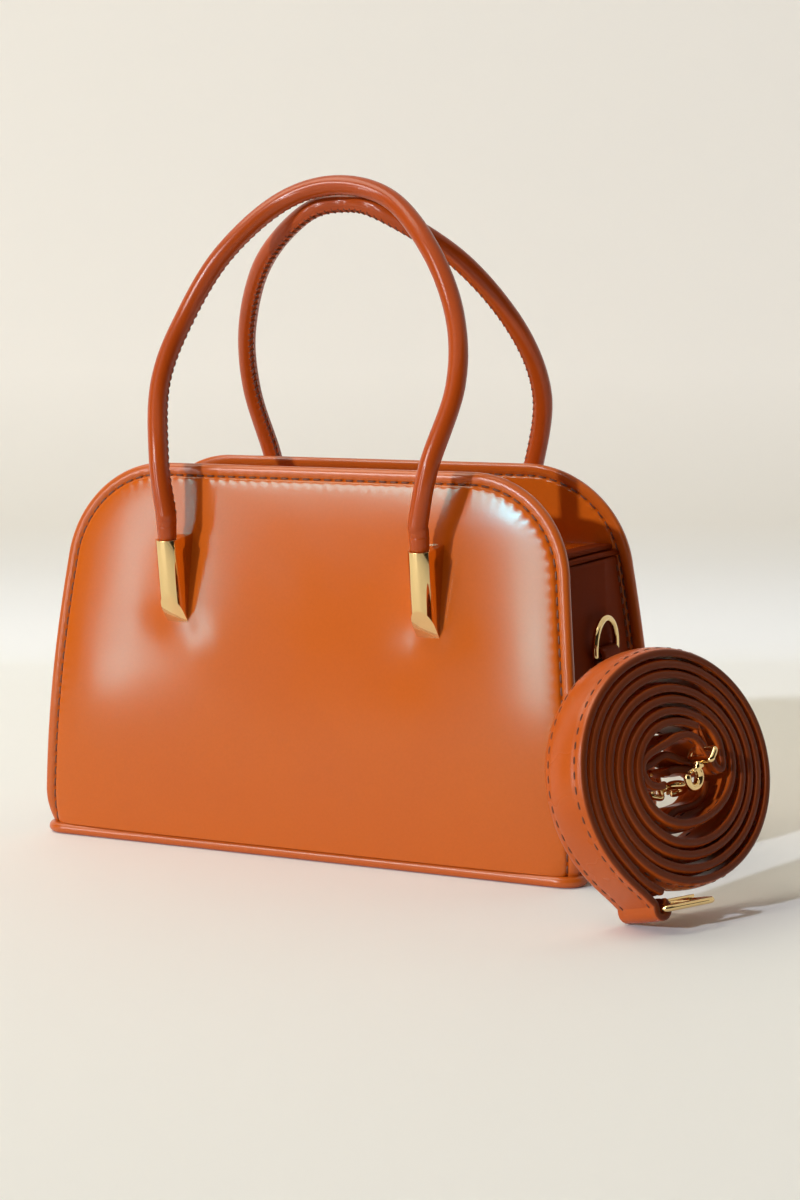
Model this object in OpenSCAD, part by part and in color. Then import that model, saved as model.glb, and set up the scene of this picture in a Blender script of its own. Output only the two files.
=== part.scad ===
// Structured top handle bag: two bowed leather panels with a gusset between
// them, a sunk zip closure, two tube handles in metal lugs, two side rings and
// a shoulder strap that stands beside the bag, rolled up with its buckle below.
// Millimetres. X runs along the bag, the front faces -Y, Z is up, and the
// origin is the middle of the base on the surface that it stands on.

/* [Body] */
// Length of the bag along its base
base_w = 250; // [225:1:275]
// Length along the top, measured as if the corners were square
top_w = 225.6; // [200:0.2:240]
// Height of the two main panels
panel_h = 160.6; // [146:0.2:176]
// Radius of the two upper corners
corner_r = 44.6; // [32:0.2:56]
// How far each side swells out past a straight line
side_bulge = 1.5; // [0:0.1:3]
// Depth of the bag over both panels at the base
base_d = 90.6; // [84:0.2:98]
// Depth over both panels at the top
top_d = 59.4; // [54:0.2:64]
// How far each panel bows outward at half height
panel_bow = 4.9; // [3:0.1:7]
// Thickness of a padded leather panel
panel_t = 3.2; // [2.4:0.1:3.8]
// Thickness of the rolled bead round each panel's edge
bead_d = 4.4; // [3.6:0.1:5]
// Thickness of the piping along the base
piping_d = 4.6; // [4:0.1:5.4]
// Thickness of the leather under the bag
base_t = 2.4; // [1.8:0.1:3]
// Thickness of the stiffening boards
board_t = 1.2; // [0.8:0.1:1.6]

/* [Gusset and zip] */
// Thickness of the gusset leather
gusset_t = 2.4; // [1.8:0.1:3]
// How far the gusset sits in from the panel edges
gusset_in = 5.5; // [4.5:0.1:8]
// Height of the top edge of the gusset
gusset_h = 123.5; // [112:0.5:125]
// Thickness of the lining cloth
lining_t = 0.8; // [0.5:0.1:1.2]
// How far the top face of the zip flaps stands over the gusset
zip_over = 3.9; // [3.5:0.1:5]
// Thickness of a zip flap
flap_t = 1.4; // [1:0.1:1.8]
// Thickness of the woven zip tape
tape_t = 0.7; // [0.5:0.1:0.9]
// Width of tape that shows between the two flaps
tape_gap = 16; // [13:0.5:18]
// Distance from one tooth to the next on one side
tooth_pitch = 4; // [3.6:0.1:5]
// Length of the slider body
slider_len = 10; // [8:0.5:12]
// Length of the pull tag
pull_len = 22; // [16:1:26]

/* [Handles] */
// Distance from the middle of the bag to each lug, along the bag
lug_x = 58; // [48:1:66]
// Distance from the middle of the bag to a handle leg, front to back
lug_y = 48.5; // [47:0.1:51]
// Width of a lug
lug_w = 10; // [9.6:0.1:11]
// Length of a lug
lug_len = 37; // [32:0.5:42]
// How far the joint where a handle leaves its lug stands over the gusset
hinge_over = 8.5; // [3:0.5:10]
// Lean of a lug, top outward
lug_lean = 7; // [4:0.5:9]
// Slope of the cut at the bottom of a lug
lug_cut = 58; // [52:1:62]
// Thickness of a handle tube
tube_d = 8; // [7:0.1:8.2]
// Wall of the leather round the handle's core
skin_t = 1.2; // [0.9:0.1:1.5]
// Height of the front handle above its lugs
front_rise = 143.7; // [130:0.1:158]
// Height of the back handle above its lugs
back_rise = 136.8; // [124:0.1:136.9]

/* [Side rings] */
// Clear width inside a side ring
ring_in = 20; // [18:0.5:22]
// Wire thickness of a side ring
ring_wire = 2.8; // [2.2:0.1:3]
// Height of the bar that a ring turns on
ring_z = 87; // [80:0.5:92]
// Width of the leather tab
tab_w = 17; // [14:0.5:17.5]
// Length of the tab below the ring
tab_len = 34; // [26:1:44]
// Thickness of the tab leather
tab_t = 1.6; // [1.2:0.1:2]

/* [Rolled strap] */
// Width of the shoulder strap
strap_w = 21.4; // [19:0.2:24]
// Thickness of the shoulder strap
strap_t = 2.7; // [2.2:0.1:3]
// Radius of the roll where its outer turn starts
roll_r = 48.7; // [47:0.1:51]
// Growth of the roll over one turn of both strands
roll_pitch = 9.3; // [9:0.1:9.6]
// Place of the roll's front centre, along the bag
roll_x = 175.4; // [172:0.2:190]
// Place of the roll's front centre, front to back
roll_y = -72.1; // [-84:0.2:-68]
// Turn of the roll's face from the front toward the right
roll_yaw = 62.9; // [55:0.1:70]
// Lean of the roll, top backward
roll_lean = 14.7; // [8:0.1:18]
// Wire thickness of the strap buckle
buckle_wire = 2.6; // [2.2:0.1:2.9]
// Length of the strap buckle
buckle_len = 23; // [20:0.5:24]
// Wire thickness of a snap hook
hook_wire = 2.4; // [2:0.1:2.6]
// Radius of a snap hook's bend, on the wire's middle
hook_r = 3.8; // [3.5:0.1:4.1]

/* [Hidden] */

leather = [0.76, 0.33, 0.12];
dark_leather = [0.6, 0.25, 0.1];
gold = [0.86, 0.72, 0.42];
black_cloth = [0.06, 0.06, 0.06];
lining_cloth = [0.16, 0.13, 0.12];
board_grey = [0.55, 0.52, 0.48];

// Facets of small and of very large rounds, both above the polygon limit
small_fn = 40;
drum_fn = 720;
// Overrun of every cut, and the reach of cutting blocks
over = 1;
far = base_w;

// Clearance between soft pieces of one body, and at a moving piece
seat_gap = 0.1;
run_gap = 0.3;

// The bow of a panel is part of one large drum, seen here on the +Y side
lean = atan((base_d - top_d) / 2 / panel_h);
chord = norm([panel_h, (base_d - top_d) / 2]);
bow_r = chord * chord / (8 * panel_bow) + panel_bow / 2;
bow_y = (base_d + top_d) / 4 + (panel_bow - bow_r) * cos(lean);
bow_z = panel_h / 2 + (panel_bow - bow_r) * sin(lean);
function face_y(z, inset = 0) =
    bow_y + sqrt(pow(bow_r - inset, 2) - pow(z - bow_z, 2));

// The outline of a panel from the front, moved in by an inset all round its rim
flare = atan((base_w - top_w) / 2 / panel_h);
corner_x = base_w / 2 - (panel_h - corner_r) * tan(flare) - corner_r / cos(flare);
corner_z = panel_h - corner_r;
side_steps = 8;
corner_steps = 9;
function side_top(inset) = corner_z + (corner_r - inset) * sin(flare);
function side_x(z, inset) =
    base_w / 2 - z * tan(flare) - inset / cos(flare)
    + side_bulge * sin(180 * min(1, z / side_top(0)));
function half_outline(inset, low) = concat(
    [for (k = [0 : side_steps - 1])
        let (z = low + (side_top(inset) - low) * k / side_steps)
        [side_x(z, inset), z]],
    [for (k = [0 : corner_steps])
        let (a = flare + (90 - flare) * k / corner_steps)
        [corner_x + (corner_r - inset) * cos(a), corner_z + (corner_r - inset) * sin(a)]]
);
function turned(pts) = [for (k = [len(pts) - 1 : -1 : 0]) pts[k]];
function left_of(pts) = [for (p = turned(pts)) [-p[0], p[1]]];
function outline(inset, low) =
    let (half = half_outline(inset, low)) concat(half, left_of(half));

// Curve through a list of points, with steps pieces between two of them
function between(a, b, c, d, t) =
    (2 * b + (c - a) * t + (2 * a - 5 * b + 4 * c - d) * t * t
    + (3 * b - a - 3 * c + d) * t * t * t) / 2;
function curve(pts, steps) = concat(
    [for (i = [1 : len(pts) - 3], k = [0 : steps - 1])
        between(pts[i - 1], pts[i], pts[i + 1], pts[i + 2], k / steps)],
    [pts[len(pts) - 2]]
);
function unit(v) = v / norm(v);
function last_of(list) = len(list) - 1;
function heading(path, i) =
    unit(path[min(i + 1, last_of(path))] - path[max(i - 1, 0)]);

// A round tube along a path that never runs straight along Y
function ring_points(p, t, r, sides) =
    let (y = [0, 1, 0], u = unit(y - (y * t) * t), w = cross(t, u))
    [for (k = [0 : sides - 1]) p + r * (cos(360 * k / sides) * u + sin(360 * k / sides) * w)];
function tube_points(path, r, sides) =
    [for (i = [0 : last_of(path)]) each ring_points(path[i], heading(path, i), r, sides)];
function wall_faces(rings, sides, first, inward) =
    [for (i = [0 : rings - 2], k = [0 : sides - 1])
        let (a = first + i * sides + k, b = first + i * sides + (k + 1) % sides)
        let (c = b + sides, d = a + sides)
        each inward ? [[a, c, d], [a, b, c]] : [[a, d, c], [a, c, b]]];
module solid_tube(path, r, sides) {
    rings = len(path);
    end = (rings - 1) * sides;
    polyhedron(tube_points(path, r, sides), concat(
        wall_faces(rings, sides, 0, false),
        [for (k = [1 : sides - 2]) [0, k, k + 1]],
        [for (k = [1 : sides - 2]) [end, end + k + 1, end + k]]
    ), convexity = 6);
}
module hollow_tube(path, r_out, r_in, sides) {
    rings = len(path);
    inner = rings * sides;
    end = (rings - 1) * sides;
    polyhedron(
        concat(tube_points(path, r_out, sides), tube_points(path, r_in, sides)),
        concat(
            wall_faces(rings, sides, 0, false),
            wall_faces(rings, sides, inner, true),
            [for (k = [0 : sides - 1]) let (m = (k + 1) % sides)
                each [[k, m, inner + m], [k, inner + m, inner + k]]],
            [for (k = [0 : sides - 1]) let (m = (k + 1) % sides)
                each [[end + k, end + inner + m, end + m], [end + k, end + inner + k, end + inner + m]]]
        ), convexity = 8);
}

// Pieces of the front are those of the back, mirrored
module on_side(front) {
    if (front) mirror([0, 1, 0]) children();
    else children();
}
module on_end(left) {
    if (left) mirror([1, 0, 0]) children();
    else children();
}
module bow_drum(inset) {
    translate([0, bow_y, bow_z]) rotate([0, 90, 0])
        cylinder(r = bow_r - inset, h = 2 * far, center = true, $fn = drum_fn);
}
// A sheet that follows the bow, from one depth under the outer face to another
module bowed_sheet(from, to) {
    difference() {
        bow_drum(from);
        bow_drum(to);
    }
}
// A flat shape in the X and Z directions, carried through the back half
module through_back(pts) {
    translate([0, far, 0]) rotate([90, 0, 0]) linear_extrude(far) polygon(pts);
}
// A point on the outer face at a height, with +Z square to the face
module on_face(x, z) {
    tilt = asin((z - bow_z) / bow_r);
    translate([x, face_y(z), z]) rotate([tilt - 90, 0, 0]) children();
}
module rod_x(r, len) {
    rotate([0, 90, 0]) cylinder(r = r, h = len, center = true, $fn = small_fn);
}
module rod_y(r, len) {
    rotate([90, 0, 0]) cylinder(r = r, h = len, center = true, $fn = small_fn);
}

// Heights that follow the gusset
zip_z = gusset_h + zip_over;
hinge_z = gusset_h + hinge_over;

// Panels, beads, boards and base
bead_r = bead_d / 2;
panel_low = piping_d + seat_gap;
screw_z = hinge_z - lug_len / 2;
screw_r = 1.3;
screw_hole_r = screw_r + seat_gap;
screw_head_r = 2.8;
screw_head_t = 1.2;
washer_r = 4;
washer_t = 0.6;
module screw_places() {
    for (s = [-1, 1]) on_face(s * lug_x, screw_z) children();
}
module panel(front) {
    color(leather) on_side(front) difference() {
        intersection() {
            bowed_sheet(0, panel_t);
            through_back(outline(bead_d + seat_gap, panel_low));
        }
        screw_places() cylinder(r = screw_hole_r, h = 4 * panel_t, center = true, $fn = small_fn);
    }
}
module edge_bead(front) {
    half = [for (p = half_outline(bead_r, panel_low)) [p[0], face_y(p[1], panel_t / 2), p[1]]];
    path = concat(half, [for (p = turned(half)) [-p[0], p[1], p[2]]]);
    color(leather) on_side(front) solid_tube(path, bead_r, 8);
}
board_low = base_t + board_t + 2 * seat_gap;
board_top = gusset_h - flap_t;
function inside_x(z) = side_x(z, gusset_in + gusset_t + run_gap);
module stiff_board(front) {
    sheet = concat(
        [[inside_x(board_low), board_low], [inside_x(board_top), board_top]],
        [[-inside_x(board_top), board_top], [-inside_x(board_low), board_low]]
    );
    color(board_grey) on_side(front) difference() {
        intersection() {
            bowed_sheet(panel_t + seat_gap, panel_t + seat_gap + board_t);
            through_back(sheet);
        }
        screw_places() cylinder(r = screw_hole_r, h = 4 * panel_t, center = true, $fn = small_fn);
    }
}
piping_y = base_d / 2 - piping_d / 4;
piping_len = base_w - piping_d;
module base_piping(front) {
    color(leather) on_side(front) translate([0, piping_y, piping_d / 2]) {
        rod_x(piping_d / 2, piping_len);
        for (s = [-1, 1]) translate([s * piping_len / 2, 0, 0])
            sphere(r = piping_d / 2, $fn = small_fn);
    }
}
base_round = 3 * base_t;
base_half_x = base_w / 2 - bead_r;
base_half_y = piping_y - piping_d / 2 - seat_gap;
module rounded_plate(half_x, half_y, r, t) {
    linear_extrude(t) union() {
        square([2 * half_x, 2 * (half_y - r)], center = true);
        square([2 * (half_x - r), 2 * half_y], center = true);
        for (sx = [-1, 1], sy = [-1, 1])
            translate([sx * (half_x - r), sy * (half_y - r)]) circle(r = r, $fn = small_fn);
    }
}
module base_leather() {
    color(leather) rounded_plate(base_half_x, base_half_y, base_round, base_t);
}
board_half_y = face_y(0, panel_t + board_t + 2 * run_gap) - board_t;
module base_stiffener() {
    color(board_grey) translate([0, 0, base_t])
        rounded_plate(inside_x(base_t) - run_gap, board_half_y, board_t, board_t);
}

// Gusset and lining, both shaped by the space between the two panels
module between_panels(inset) {
    intersection() {
        bow_drum(inset);
        mirror([0, 1, 0]) bow_drum(inset);
    }
}
// Profile in X and Z carried through the whole depth
module through_depth(pts) {
    rotate([90, 0, 0]) linear_extrude(2 * far, center = true) polygon(pts);
}
gusset_steps = 6;
function gusset_edge(inset, low, high) =
    [for (k = [0 : gusset_steps])
        let (z = low + (high - low) * k / gusset_steps) [side_x(z, inset), z]];
module gusset(left) {
    strip = concat(gusset_edge(gusset_in, base_t, gusset_h),
        turned(gusset_edge(gusset_in + gusset_t, base_t, gusset_h)));
    color(dark_leather) on_end(left) intersection() {
        through_depth(strip);
        between_panels(panel_t + seat_gap);
    }
}
lining_in = panel_t + board_t + screw_head_t + washer_t + 5 * seat_gap;
lining_side = gusset_in + gusset_t + 2 * run_gap;
lining_low = base_t + board_t + seat_gap;
lining_top = gusset_h - flap_t;
module lining_block(grow_in, low, high) {
    half = gusset_edge(lining_side + grow_in, low, high);
    intersection() {
        through_depth(concat(half, left_of(half)));
        between_panels(lining_in + grow_in);
    }
}
module bag_lining() {
    color(lining_cloth) difference() {
        lining_block(0, lining_low, lining_top);
        lining_block(lining_t, lining_low + lining_t, lining_top + over);
    }
}

// Zip closure: two flaps that lift from the panels, tape, teeth and slider
flap_y = face_y(zip_z, panel_t) - flap_t;
flap_mid_z = zip_z - flap_t / 2;
flap_half = side_x(zip_z, gusset_in) - 4 * gusset_t;
tape_low = zip_z - flap_t - tape_t;
module zip_flap(front) {
    color(leather) on_side(front) {
        translate([0, flap_y, flap_mid_z]) rod_x(flap_t / 2, 2 * flap_half);
        translate([-flap_half, tape_gap / 2, zip_z - flap_t])
            cube([2 * flap_half, flap_y - tape_gap / 2, flap_t]);
    }
}
bead_w = 2.2;
tooth_w = 1.5;
tooth_t = 1.6;
bead_from = (tooth_w + seat_gap) / 2;
tape_in = bead_from + bead_w / 2;
tape_over = 3;
module zip_tape(front) {
    color(black_cloth) on_side(front)
        translate([-flap_half, tape_in, tape_low])
            cube([2 * flap_half, tape_gap / 2 + tape_over - tape_in, tape_t]);
}
teeth_half = flap_half - 4 * tooth_pitch;
tooth_count = floor(2 * teeth_half / tooth_pitch);
module zip_teeth(front) {
    start = -tooth_count * tooth_pitch / 2 + (front ? 0 : tooth_pitch / 2);
    color(gold) on_side(front) {
        translate([-tooth_count * tooth_pitch / 2, bead_from, tape_low + tape_t])
            cube([tooth_count * tooth_pitch, bead_w, tooth_t]);
        for (k = [0 : tooth_count - 1])
            translate([start + k * tooth_pitch, bead_from - tooth_w, tape_low + tape_t])
                cube([tooth_pitch / 2 - run_gap, tooth_w + bead_w / 2, tooth_t]);
    }
}
module zip_end(left) {
    outer = side_x(gusset_h, gusset_in);
    strip = [
        [flap_half + run_gap, gusset_h + seat_gap], [outer, gusset_h + seat_gap],
        [outer, zip_z + flap_t], [flap_half + run_gap, zip_z + flap_t]
    ];
    color(dark_leather) on_end(left) intersection() {
        through_depth(strip);
        between_panels(panel_t + run_gap);
    }
}

slider_x = -teeth_half - slider_len / 2 + tooth_pitch;
slider_half_y = bead_from + bead_w + 4 * run_gap;
slider_low = tape_low + tape_t + tooth_t + run_gap;
plate_t = 1.2;
cheek_t = 1;
pin_r = 0.7;
pin_lift = 2.4;
pin_z = slider_low + plate_t + pin_lift;
module slider_body() {
    color(gold) translate([slider_x, 0, 0]) {
        translate([-slider_len / 2, -slider_half_y - cheek_t, slider_low])
            cube([slider_len, 2 * (slider_half_y + cheek_t), plate_t]);
        for (s = [-1, 1]) translate([-slider_len / 2, s * (slider_half_y + cheek_t / 2) - cheek_t / 2,
            tape_low + tape_t + run_gap])
            cube([slider_len, cheek_t, slider_low - tape_low - tape_t]);
        for (s = [-1, 1]) translate([-slider_len / 4, s * 2 * cheek_t - cheek_t / 2, slider_low])
            cube([slider_len / 2, cheek_t, plate_t + pin_lift + 2 * pin_r]);
        translate([0, 0, pin_z]) rod_y(pin_r, 4 * cheek_t);
    }
}
pull_w = 5;
pull_t = 1.2;
eye_r = pin_r + run_gap + pull_t;
eye_w = 2 * cheek_t;
// The tag droops until its tip rests over the teeth
pull_droop = asin((pin_z - pull_t / 2 - tape_low - tape_t - tooth_t - run_gap) / pull_len);
module pull_tag() {
    color(gold) translate([slider_x, 0, pin_z]) rotate([0, pull_droop, 0]) difference() {
        union() {
            rod_y(eye_r, eye_w);
            translate([0, -eye_w / 2, -pull_t / 2]) cube([slider_len, eye_w, pull_t]);
            translate([slider_len / 2 + eye_r, -pull_w / 2, -pull_t / 2])
                cube([pull_len - slider_len / 2 - eye_r - pull_w / 2, pull_w, pull_t]);
            translate([pull_len - pull_w / 2, 0, -pull_t / 2])
                cylinder(r = pull_w / 2, h = pull_t, $fn = small_fn);
        }
        rod_y(pin_r + run_gap, 4 * eye_w);
        translate([pull_len - pull_w / 2, 0, 0])
            cylinder(r = pull_w / 5, h = 4 * pull_t, center = true, $fn = small_fn);
    }
}

// Handles: each leg leaves its lug on a ball that lets the handle lean
ball_r = tube_d / 2 - seat_gap;
cup_r = ball_r + run_gap;
lug_drop = 1.5;
neck_len = 3.6;
neck_straight = 6;
collar_grow = 0.4;
collar_r = tube_d / 2 + collar_grow;
collar_from = 2.2;
lug_r = lug_w / 2;
module at_hinge(x) {
    translate([x, lug_y, hinge_z]) rotate([-lug_lean, 0, 0]) children();
}
module lug(front, left) {
    color(gold) on_side(front) on_end(left) difference() {
        at_hinge(lug_x) translate([0, 0, -lug_drop - lug_len]) {
            cylinder(r = lug_r, h = lug_len, $fn = small_fn);
            translate([-lug_r, -lug_y / 2, 0]) cube([lug_w, lug_y / 2, lug_len]);
        }
        bow_drum(0);
        at_hinge(lug_x) sphere(r = cup_r, $fn = small_fn);
        // The slanted cut that leaves a flat facet below
        at_hinge(lug_x) translate([0, lug_r, -lug_drop - lug_len * 0.632]) rotate([lug_cut, 0, 0])
            translate([-far / 2, -far / 2, -far]) cube([far, far, far]);
        on_face(lug_x, screw_z) cylinder(r = screw_hole_r, h = lug_r, center = true, $fn = small_fn);
    }
}
module screws() {
    depth = panel_t + board_t + washer_t + 3 * seat_gap;
    color(gold) for (f = [false, true]) on_side(f) screw_places() {
        translate([0, 0, -depth]) cylinder(r = screw_r, h = depth + lug_r / 2 - seat_gap, $fn = small_fn);
        translate([0, 0, -depth - screw_head_t])
            cylinder(r = screw_head_r, h = screw_head_t, $fn = small_fn);
    }
}
module washers() {
    color(gold) for (f = [false, true]) on_side(f) screw_places()
        translate([0, 0, -panel_t - board_t - washer_t - 2 * seat_gap]) difference() {
            cylinder(r = washer_r, h = washer_t, $fn = small_fn);
            cylinder(r = screw_hole_r, h = 4 * washer_t, center = true, $fn = small_fn);
        }
}

// Height, spread and depth of a handle's points, as shares of its rise, of
// lug_x and of lug_y, from the first point above the lug to the top
front_arch_shares = [
    [0.22, 1.067, 0.998], [0.437, 1.171, 0.753], [0.629, 1.072, 0.511],
    [0.812, 0.819, 0.346], [0.955, 0.436, 0.163], [1, 0, 0.124]
];
back_arch_shares = [
    [0.208, 1.109, 1.076], [0.418, 1.214, 0.936], [0.621, 1.114, 0.654],
    [0.823, 0.802, 0.299], [0.966, 0.329, 0.02], [1, 0, 0.052]
];
arch_steps = 4;
neck_dir = [0, sin(lug_lean), cos(lug_lean)];
ball_at = [lug_x, lug_y, hinge_z];
function arch_path(shares, rise) =
    let (start = ball_at + (neck_len + run_gap) * neck_dir)
    let (on_axis = [for (k = [0.5, 1]) start + k * neck_straight * neck_dir])
    let (half = concat([ball_at, start], on_axis,
        [for (s = shares) [s[1] * lug_x, s[2] * lug_y, hinge_z + s[0] * rise]]))
    let (back = [for (k = [len(half) - 2 : -1 : 0]) [-half[k][0], half[k][1], half[k][2]]])
    curve(concat(half, back), arch_steps);
tube_sides = 10;
core_sides = 8;
core_r = (tube_d / 2 - skin_t) * cos(180 / tube_sides) - seat_gap;
module handle_skin(front, shares, rise) {
    color(leather) on_side(front)
        hollow_tube(arch_path(shares, rise), tube_d / 2, tube_d / 2 - skin_t, tube_sides);
}
module handle_core(front, shares, rise) {
    color(board_grey) on_side(front) solid_tube(arch_path(shares, rise), core_r, core_sides);
}
module handle_roots(front) {
    color(dark_leather) on_side(front) for (left = [false, true]) on_end(left) at_hinge(lug_x) {
        sphere(r = ball_r, $fn = small_fn);
        cylinder(r = ball_r, h = neck_len, $fn = small_fn);
        translate([0, 0, collar_from]) cylinder(r = collar_r, h = neck_len - collar_from, $fn = small_fn);
    }
}

// Side rings, each turning in the fold of a tab on the gusset
ring_r = ring_in / 2 + ring_wire / 2;
ring_rise = 3;
loop_r = ring_wire / 2 + run_gap;
tab_x = side_x(ring_z, gusset_in);
ring_x = tab_x + loop_r + tab_t + run_gap;
module ring_shape() {
    rod_y(ring_wire / 2, 2 * ring_r);
    for (s = [-1, 1]) translate([0, s * ring_r, 0]) {
        cylinder(r = ring_wire / 2, h = ring_rise, $fn = small_fn);
        sphere(r = ring_wire / 2, $fn = small_fn);
    }
    translate([0, 0, ring_rise]) rotate([90, 0, 90])
        rotate_extrude(angle = 180, $fn = 2 * small_fn) translate([ring_r, 0])
            circle(r = ring_wire / 2, $fn = small_fn);
}
module side_ring(left) {
    color(gold) on_end(left) translate([ring_x, 0, ring_z]) ring_shape();
}
module ring_tab(left) {
    low = ring_z - tab_len;
    face = side_x(low, gusset_in) + run_gap;
    top = tab_x + run_gap;
    loop_out = loop_r + tab_t;
    color(dark_leather) on_end(left) rotate([90, 0, 0]) linear_extrude(tab_w, center = true)
        difference() {
            union() {
                translate([ring_x, ring_z]) circle(r = loop_out, $fn = small_fn);
                polygon([
                    [face, low], [face + 2 * tab_t, low],
                    [ring_x + loop_out, ring_z - loop_out], [ring_x + loop_out, ring_z],
                    [top, ring_z]
                ]);
            }
            translate([ring_x, ring_z]) circle(r = loop_r, $fn = small_fn);
        }
}

// The rolled strap. Its own frame has X across the roll's face, Y up it and Z
// out of it, and the strap runs from zero back to its width.
fold_drop = 3.7;
roll_z = strap_w * sin(roll_lean) + (roll_r + fold_drop) * cos(roll_lean);
module roll_frame() {
    translate([roll_x, roll_y, roll_z]) rotate([90 - roll_lean, 0, roll_yaw]) children();
}
// Two strands wind in side by side, each half a pitch from the other
start_angle = 193;
drift_x_share = 0.024;
drift_y_share = 0.032;
hub_x_share = 0.03;
hub_y_share = -0.014;
turn_step = 10;
outer_from = -20;
outer_to = 1225;
inner_from = -16;
inner_to = 1110;
function winding(phi, strand) =
    let (r = roll_r - strap_t / 2 - roll_pitch * (phi / 360 + strand / 2), a = start_angle - phi)
    [roll_r * (hub_x_share + drift_x_share * phi / 1000) + r * cos(a),
        roll_r * (hub_y_share + drift_y_share * phi / 1000) + r * sin(a)];
function wound(strand, from, to) =
    [for (phi = [from : turn_step : to]) winding(phi, strand)];

// The outer strand ends in a fold round the buckle's bar under the roll
bar_r = buckle_wire / 2;
fold_r = bar_r + run_gap + strap_t / 2;
fold_x = -0.38 * roll_r;
fold_y = -roll_r - fold_drop + fold_r + strap_t / 2;
fold_steps = 8;
fold_from = 48;
fold_to = 330;
tail_mid = [-0.66 * roll_r, -0.72 * roll_r];
fold_path = [for (k = [0 : fold_steps])
    let (a = fold_from - 180 + (fold_to - fold_from) * (1 - k / fold_steps) - 90)
    [fold_x + fold_r * cos(a), fold_y + fold_r * sin(a)]];
outer_path = concat(fold_path, [tail_mid], wound(0, outer_from, outer_to));

// The inner strand tucks in behind the buckle, and its other end doubles back
inner_tip = [[-0.35 * roll_r, -0.86 * roll_r], [-0.52 * roll_r, -0.76 * roll_r]];
inner_fold_shares = [
    [-0.145, 0.2], [-0.02, 0.218], [0.085, 0.19], [0.135, 0.14],
    [0.08, 0.1], [-0.03, 0.095], [-0.085, 0.05]
];
inner_path = concat(inner_tip, wound(1, inner_from, inner_to),
    [for (s = inner_fold_shares) roll_r * s]);
function side_way(path, i) = let (t = heading(path, i)) [-t[1], t[0]];
function band(path, t) = concat(
    [for (i = [0 : last_of(path)]) path[i] + side_way(path, i) * t / 2],
    [for (i = [last_of(path) : -1 : 0]) path[i] - side_way(path, i) * t / 2]
);
// Least clear gap from one strand to the other, and from a strand to itself
function off_line(p, a, b) =
    let (t = max(0, min(1, (p - a) * (b - a) / ((b - a) * (b - a))))) norm(p - a - t * (b - a));
function least_gap(p, q, skip) = min([
    for (i = [0 : last_of(p)], j = [0 : last_of(q) - 1])
        if (skip == 0 || abs(i - j) > skip) off_line(p[i], q[j], q[j + 1])
]) - strap_t;
echo(strand_to_strand = least_gap(outer_path, inner_path, 0));
echo(outer_to_itself = least_gap(outer_path, outer_path, fold_steps));
echo(inner_to_itself = least_gap(inner_path, inner_path, fold_steps));
module strap_band(path) {
    translate([0, 0, -strap_w]) linear_extrude(strap_w) polygon(band(path, strap_t));
}

// Snap hooks: an eye in the strap's end loop, a swivelling bend and a gate
eye_wire = 2;
eye_in = 8;
eye_len = 5;
loop_w = eye_in - 2 * run_gap;
loop_in = eye_wire / 2 + run_gap;
shank_len = 2.5;
shank_r = 1.5;
upper_eye_share = [0.308, 0.144];
lower_eye_share = [-0.072, -0.062];
upper_turn = -128;
lower_turn = -14.5;
upper_depth = loop_w / 2 + run_gap + 2 * seat_gap;
lower_depth = strap_w - loop_w / 2 - eye_wire + run_gap;
module hook_frame(share, turn, depth) {
    roll_frame() translate([roll_r * share[0], roll_r * share[1], -depth])
        rotate([0, 0, turn]) children();
}
module end_loop(path, share, depth) {
    tip = path[last_of(path)];
    at = roll_r * share;
    way = unit(at - tip);
    reach = norm(at - tip);
    translate([0, 0, -depth]) difference() {
        union() {
            translate([at[0], at[1], 0])
                cylinder(r = loop_in + strap_t / 2, h = loop_w, center = true, $fn = small_fn);
            translate([tip[0], tip[1], 0]) rotate([0, 0, atan2(way[1], way[0])])
                translate([-over / 4, -strap_t / 2, -loop_w / 2]) cube([reach, strap_t, loop_w]);
        }
        translate([at[0], at[1], 0])
            cylinder(r = loop_in, h = 2 * loop_w, center = true, $fn = small_fn);
    }
}
module outer_strand() {
    reach = fold_r + strap_t;
    color(leather) roll_frame() {
        difference() {
            strap_band(outer_path);
            // Slot in the fold for the prong and its eye
            translate([fold_x - slot_back, fold_y - reach, -strap_w / 2 - slot_w / 2])
                cube([slot_back + reach, 2 * reach, slot_w]);
        }
        end_loop(outer_path, upper_eye_share, upper_depth);
    }
}
module inner_strand() {
    color(leather) roll_frame() {
        strap_band(inner_path);
        end_loop(inner_path, lower_eye_share, lower_depth);
    }
}
module buckle_wire_frame() {
    half = strap_w / 2 + run_gap + bar_r;
    color(gold) roll_frame() translate([fold_x, fold_y, -strap_w / 2]) {
        cylinder(r = bar_r, h = 2 * half, center = true, $fn = small_fn);
        for (s = [-1, 1]) translate([buckle_len / 2, 0, s * half]) rod_x(bar_r, buckle_len);
        for (s = [-1, 1], x = [0, buckle_len]) translate([x, 0, s * half])
            sphere(r = bar_r, $fn = small_fn);
        translate([buckle_len, 0, 0]) cylinder(r = bar_r, h = 2 * half, center = true, $fn = small_fn);
    }
}
prong_w = 2.4;
prong_t = 1.2;
prong_rise = bar_r + run_gap / 2;
prong_eye = prong_rise + prong_t;
slot_w = prong_w + 2 * run_gap;
slot_back = prong_eye + run_gap;
module prong() {
    color(gold) roll_frame() translate([fold_x, fold_y, -strap_w / 2]) difference() {
        union() {
            cylinder(r = prong_eye, h = prong_w, center = true, $fn = small_fn);
            translate([0, prong_rise, -prong_w / 2]) cube([buckle_len + bar_r, prong_t, prong_w]);
        }
        cylinder(r = prong_rise, h = 2 * prong_w, center = true, $fn = small_fn);
    }
}
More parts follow.
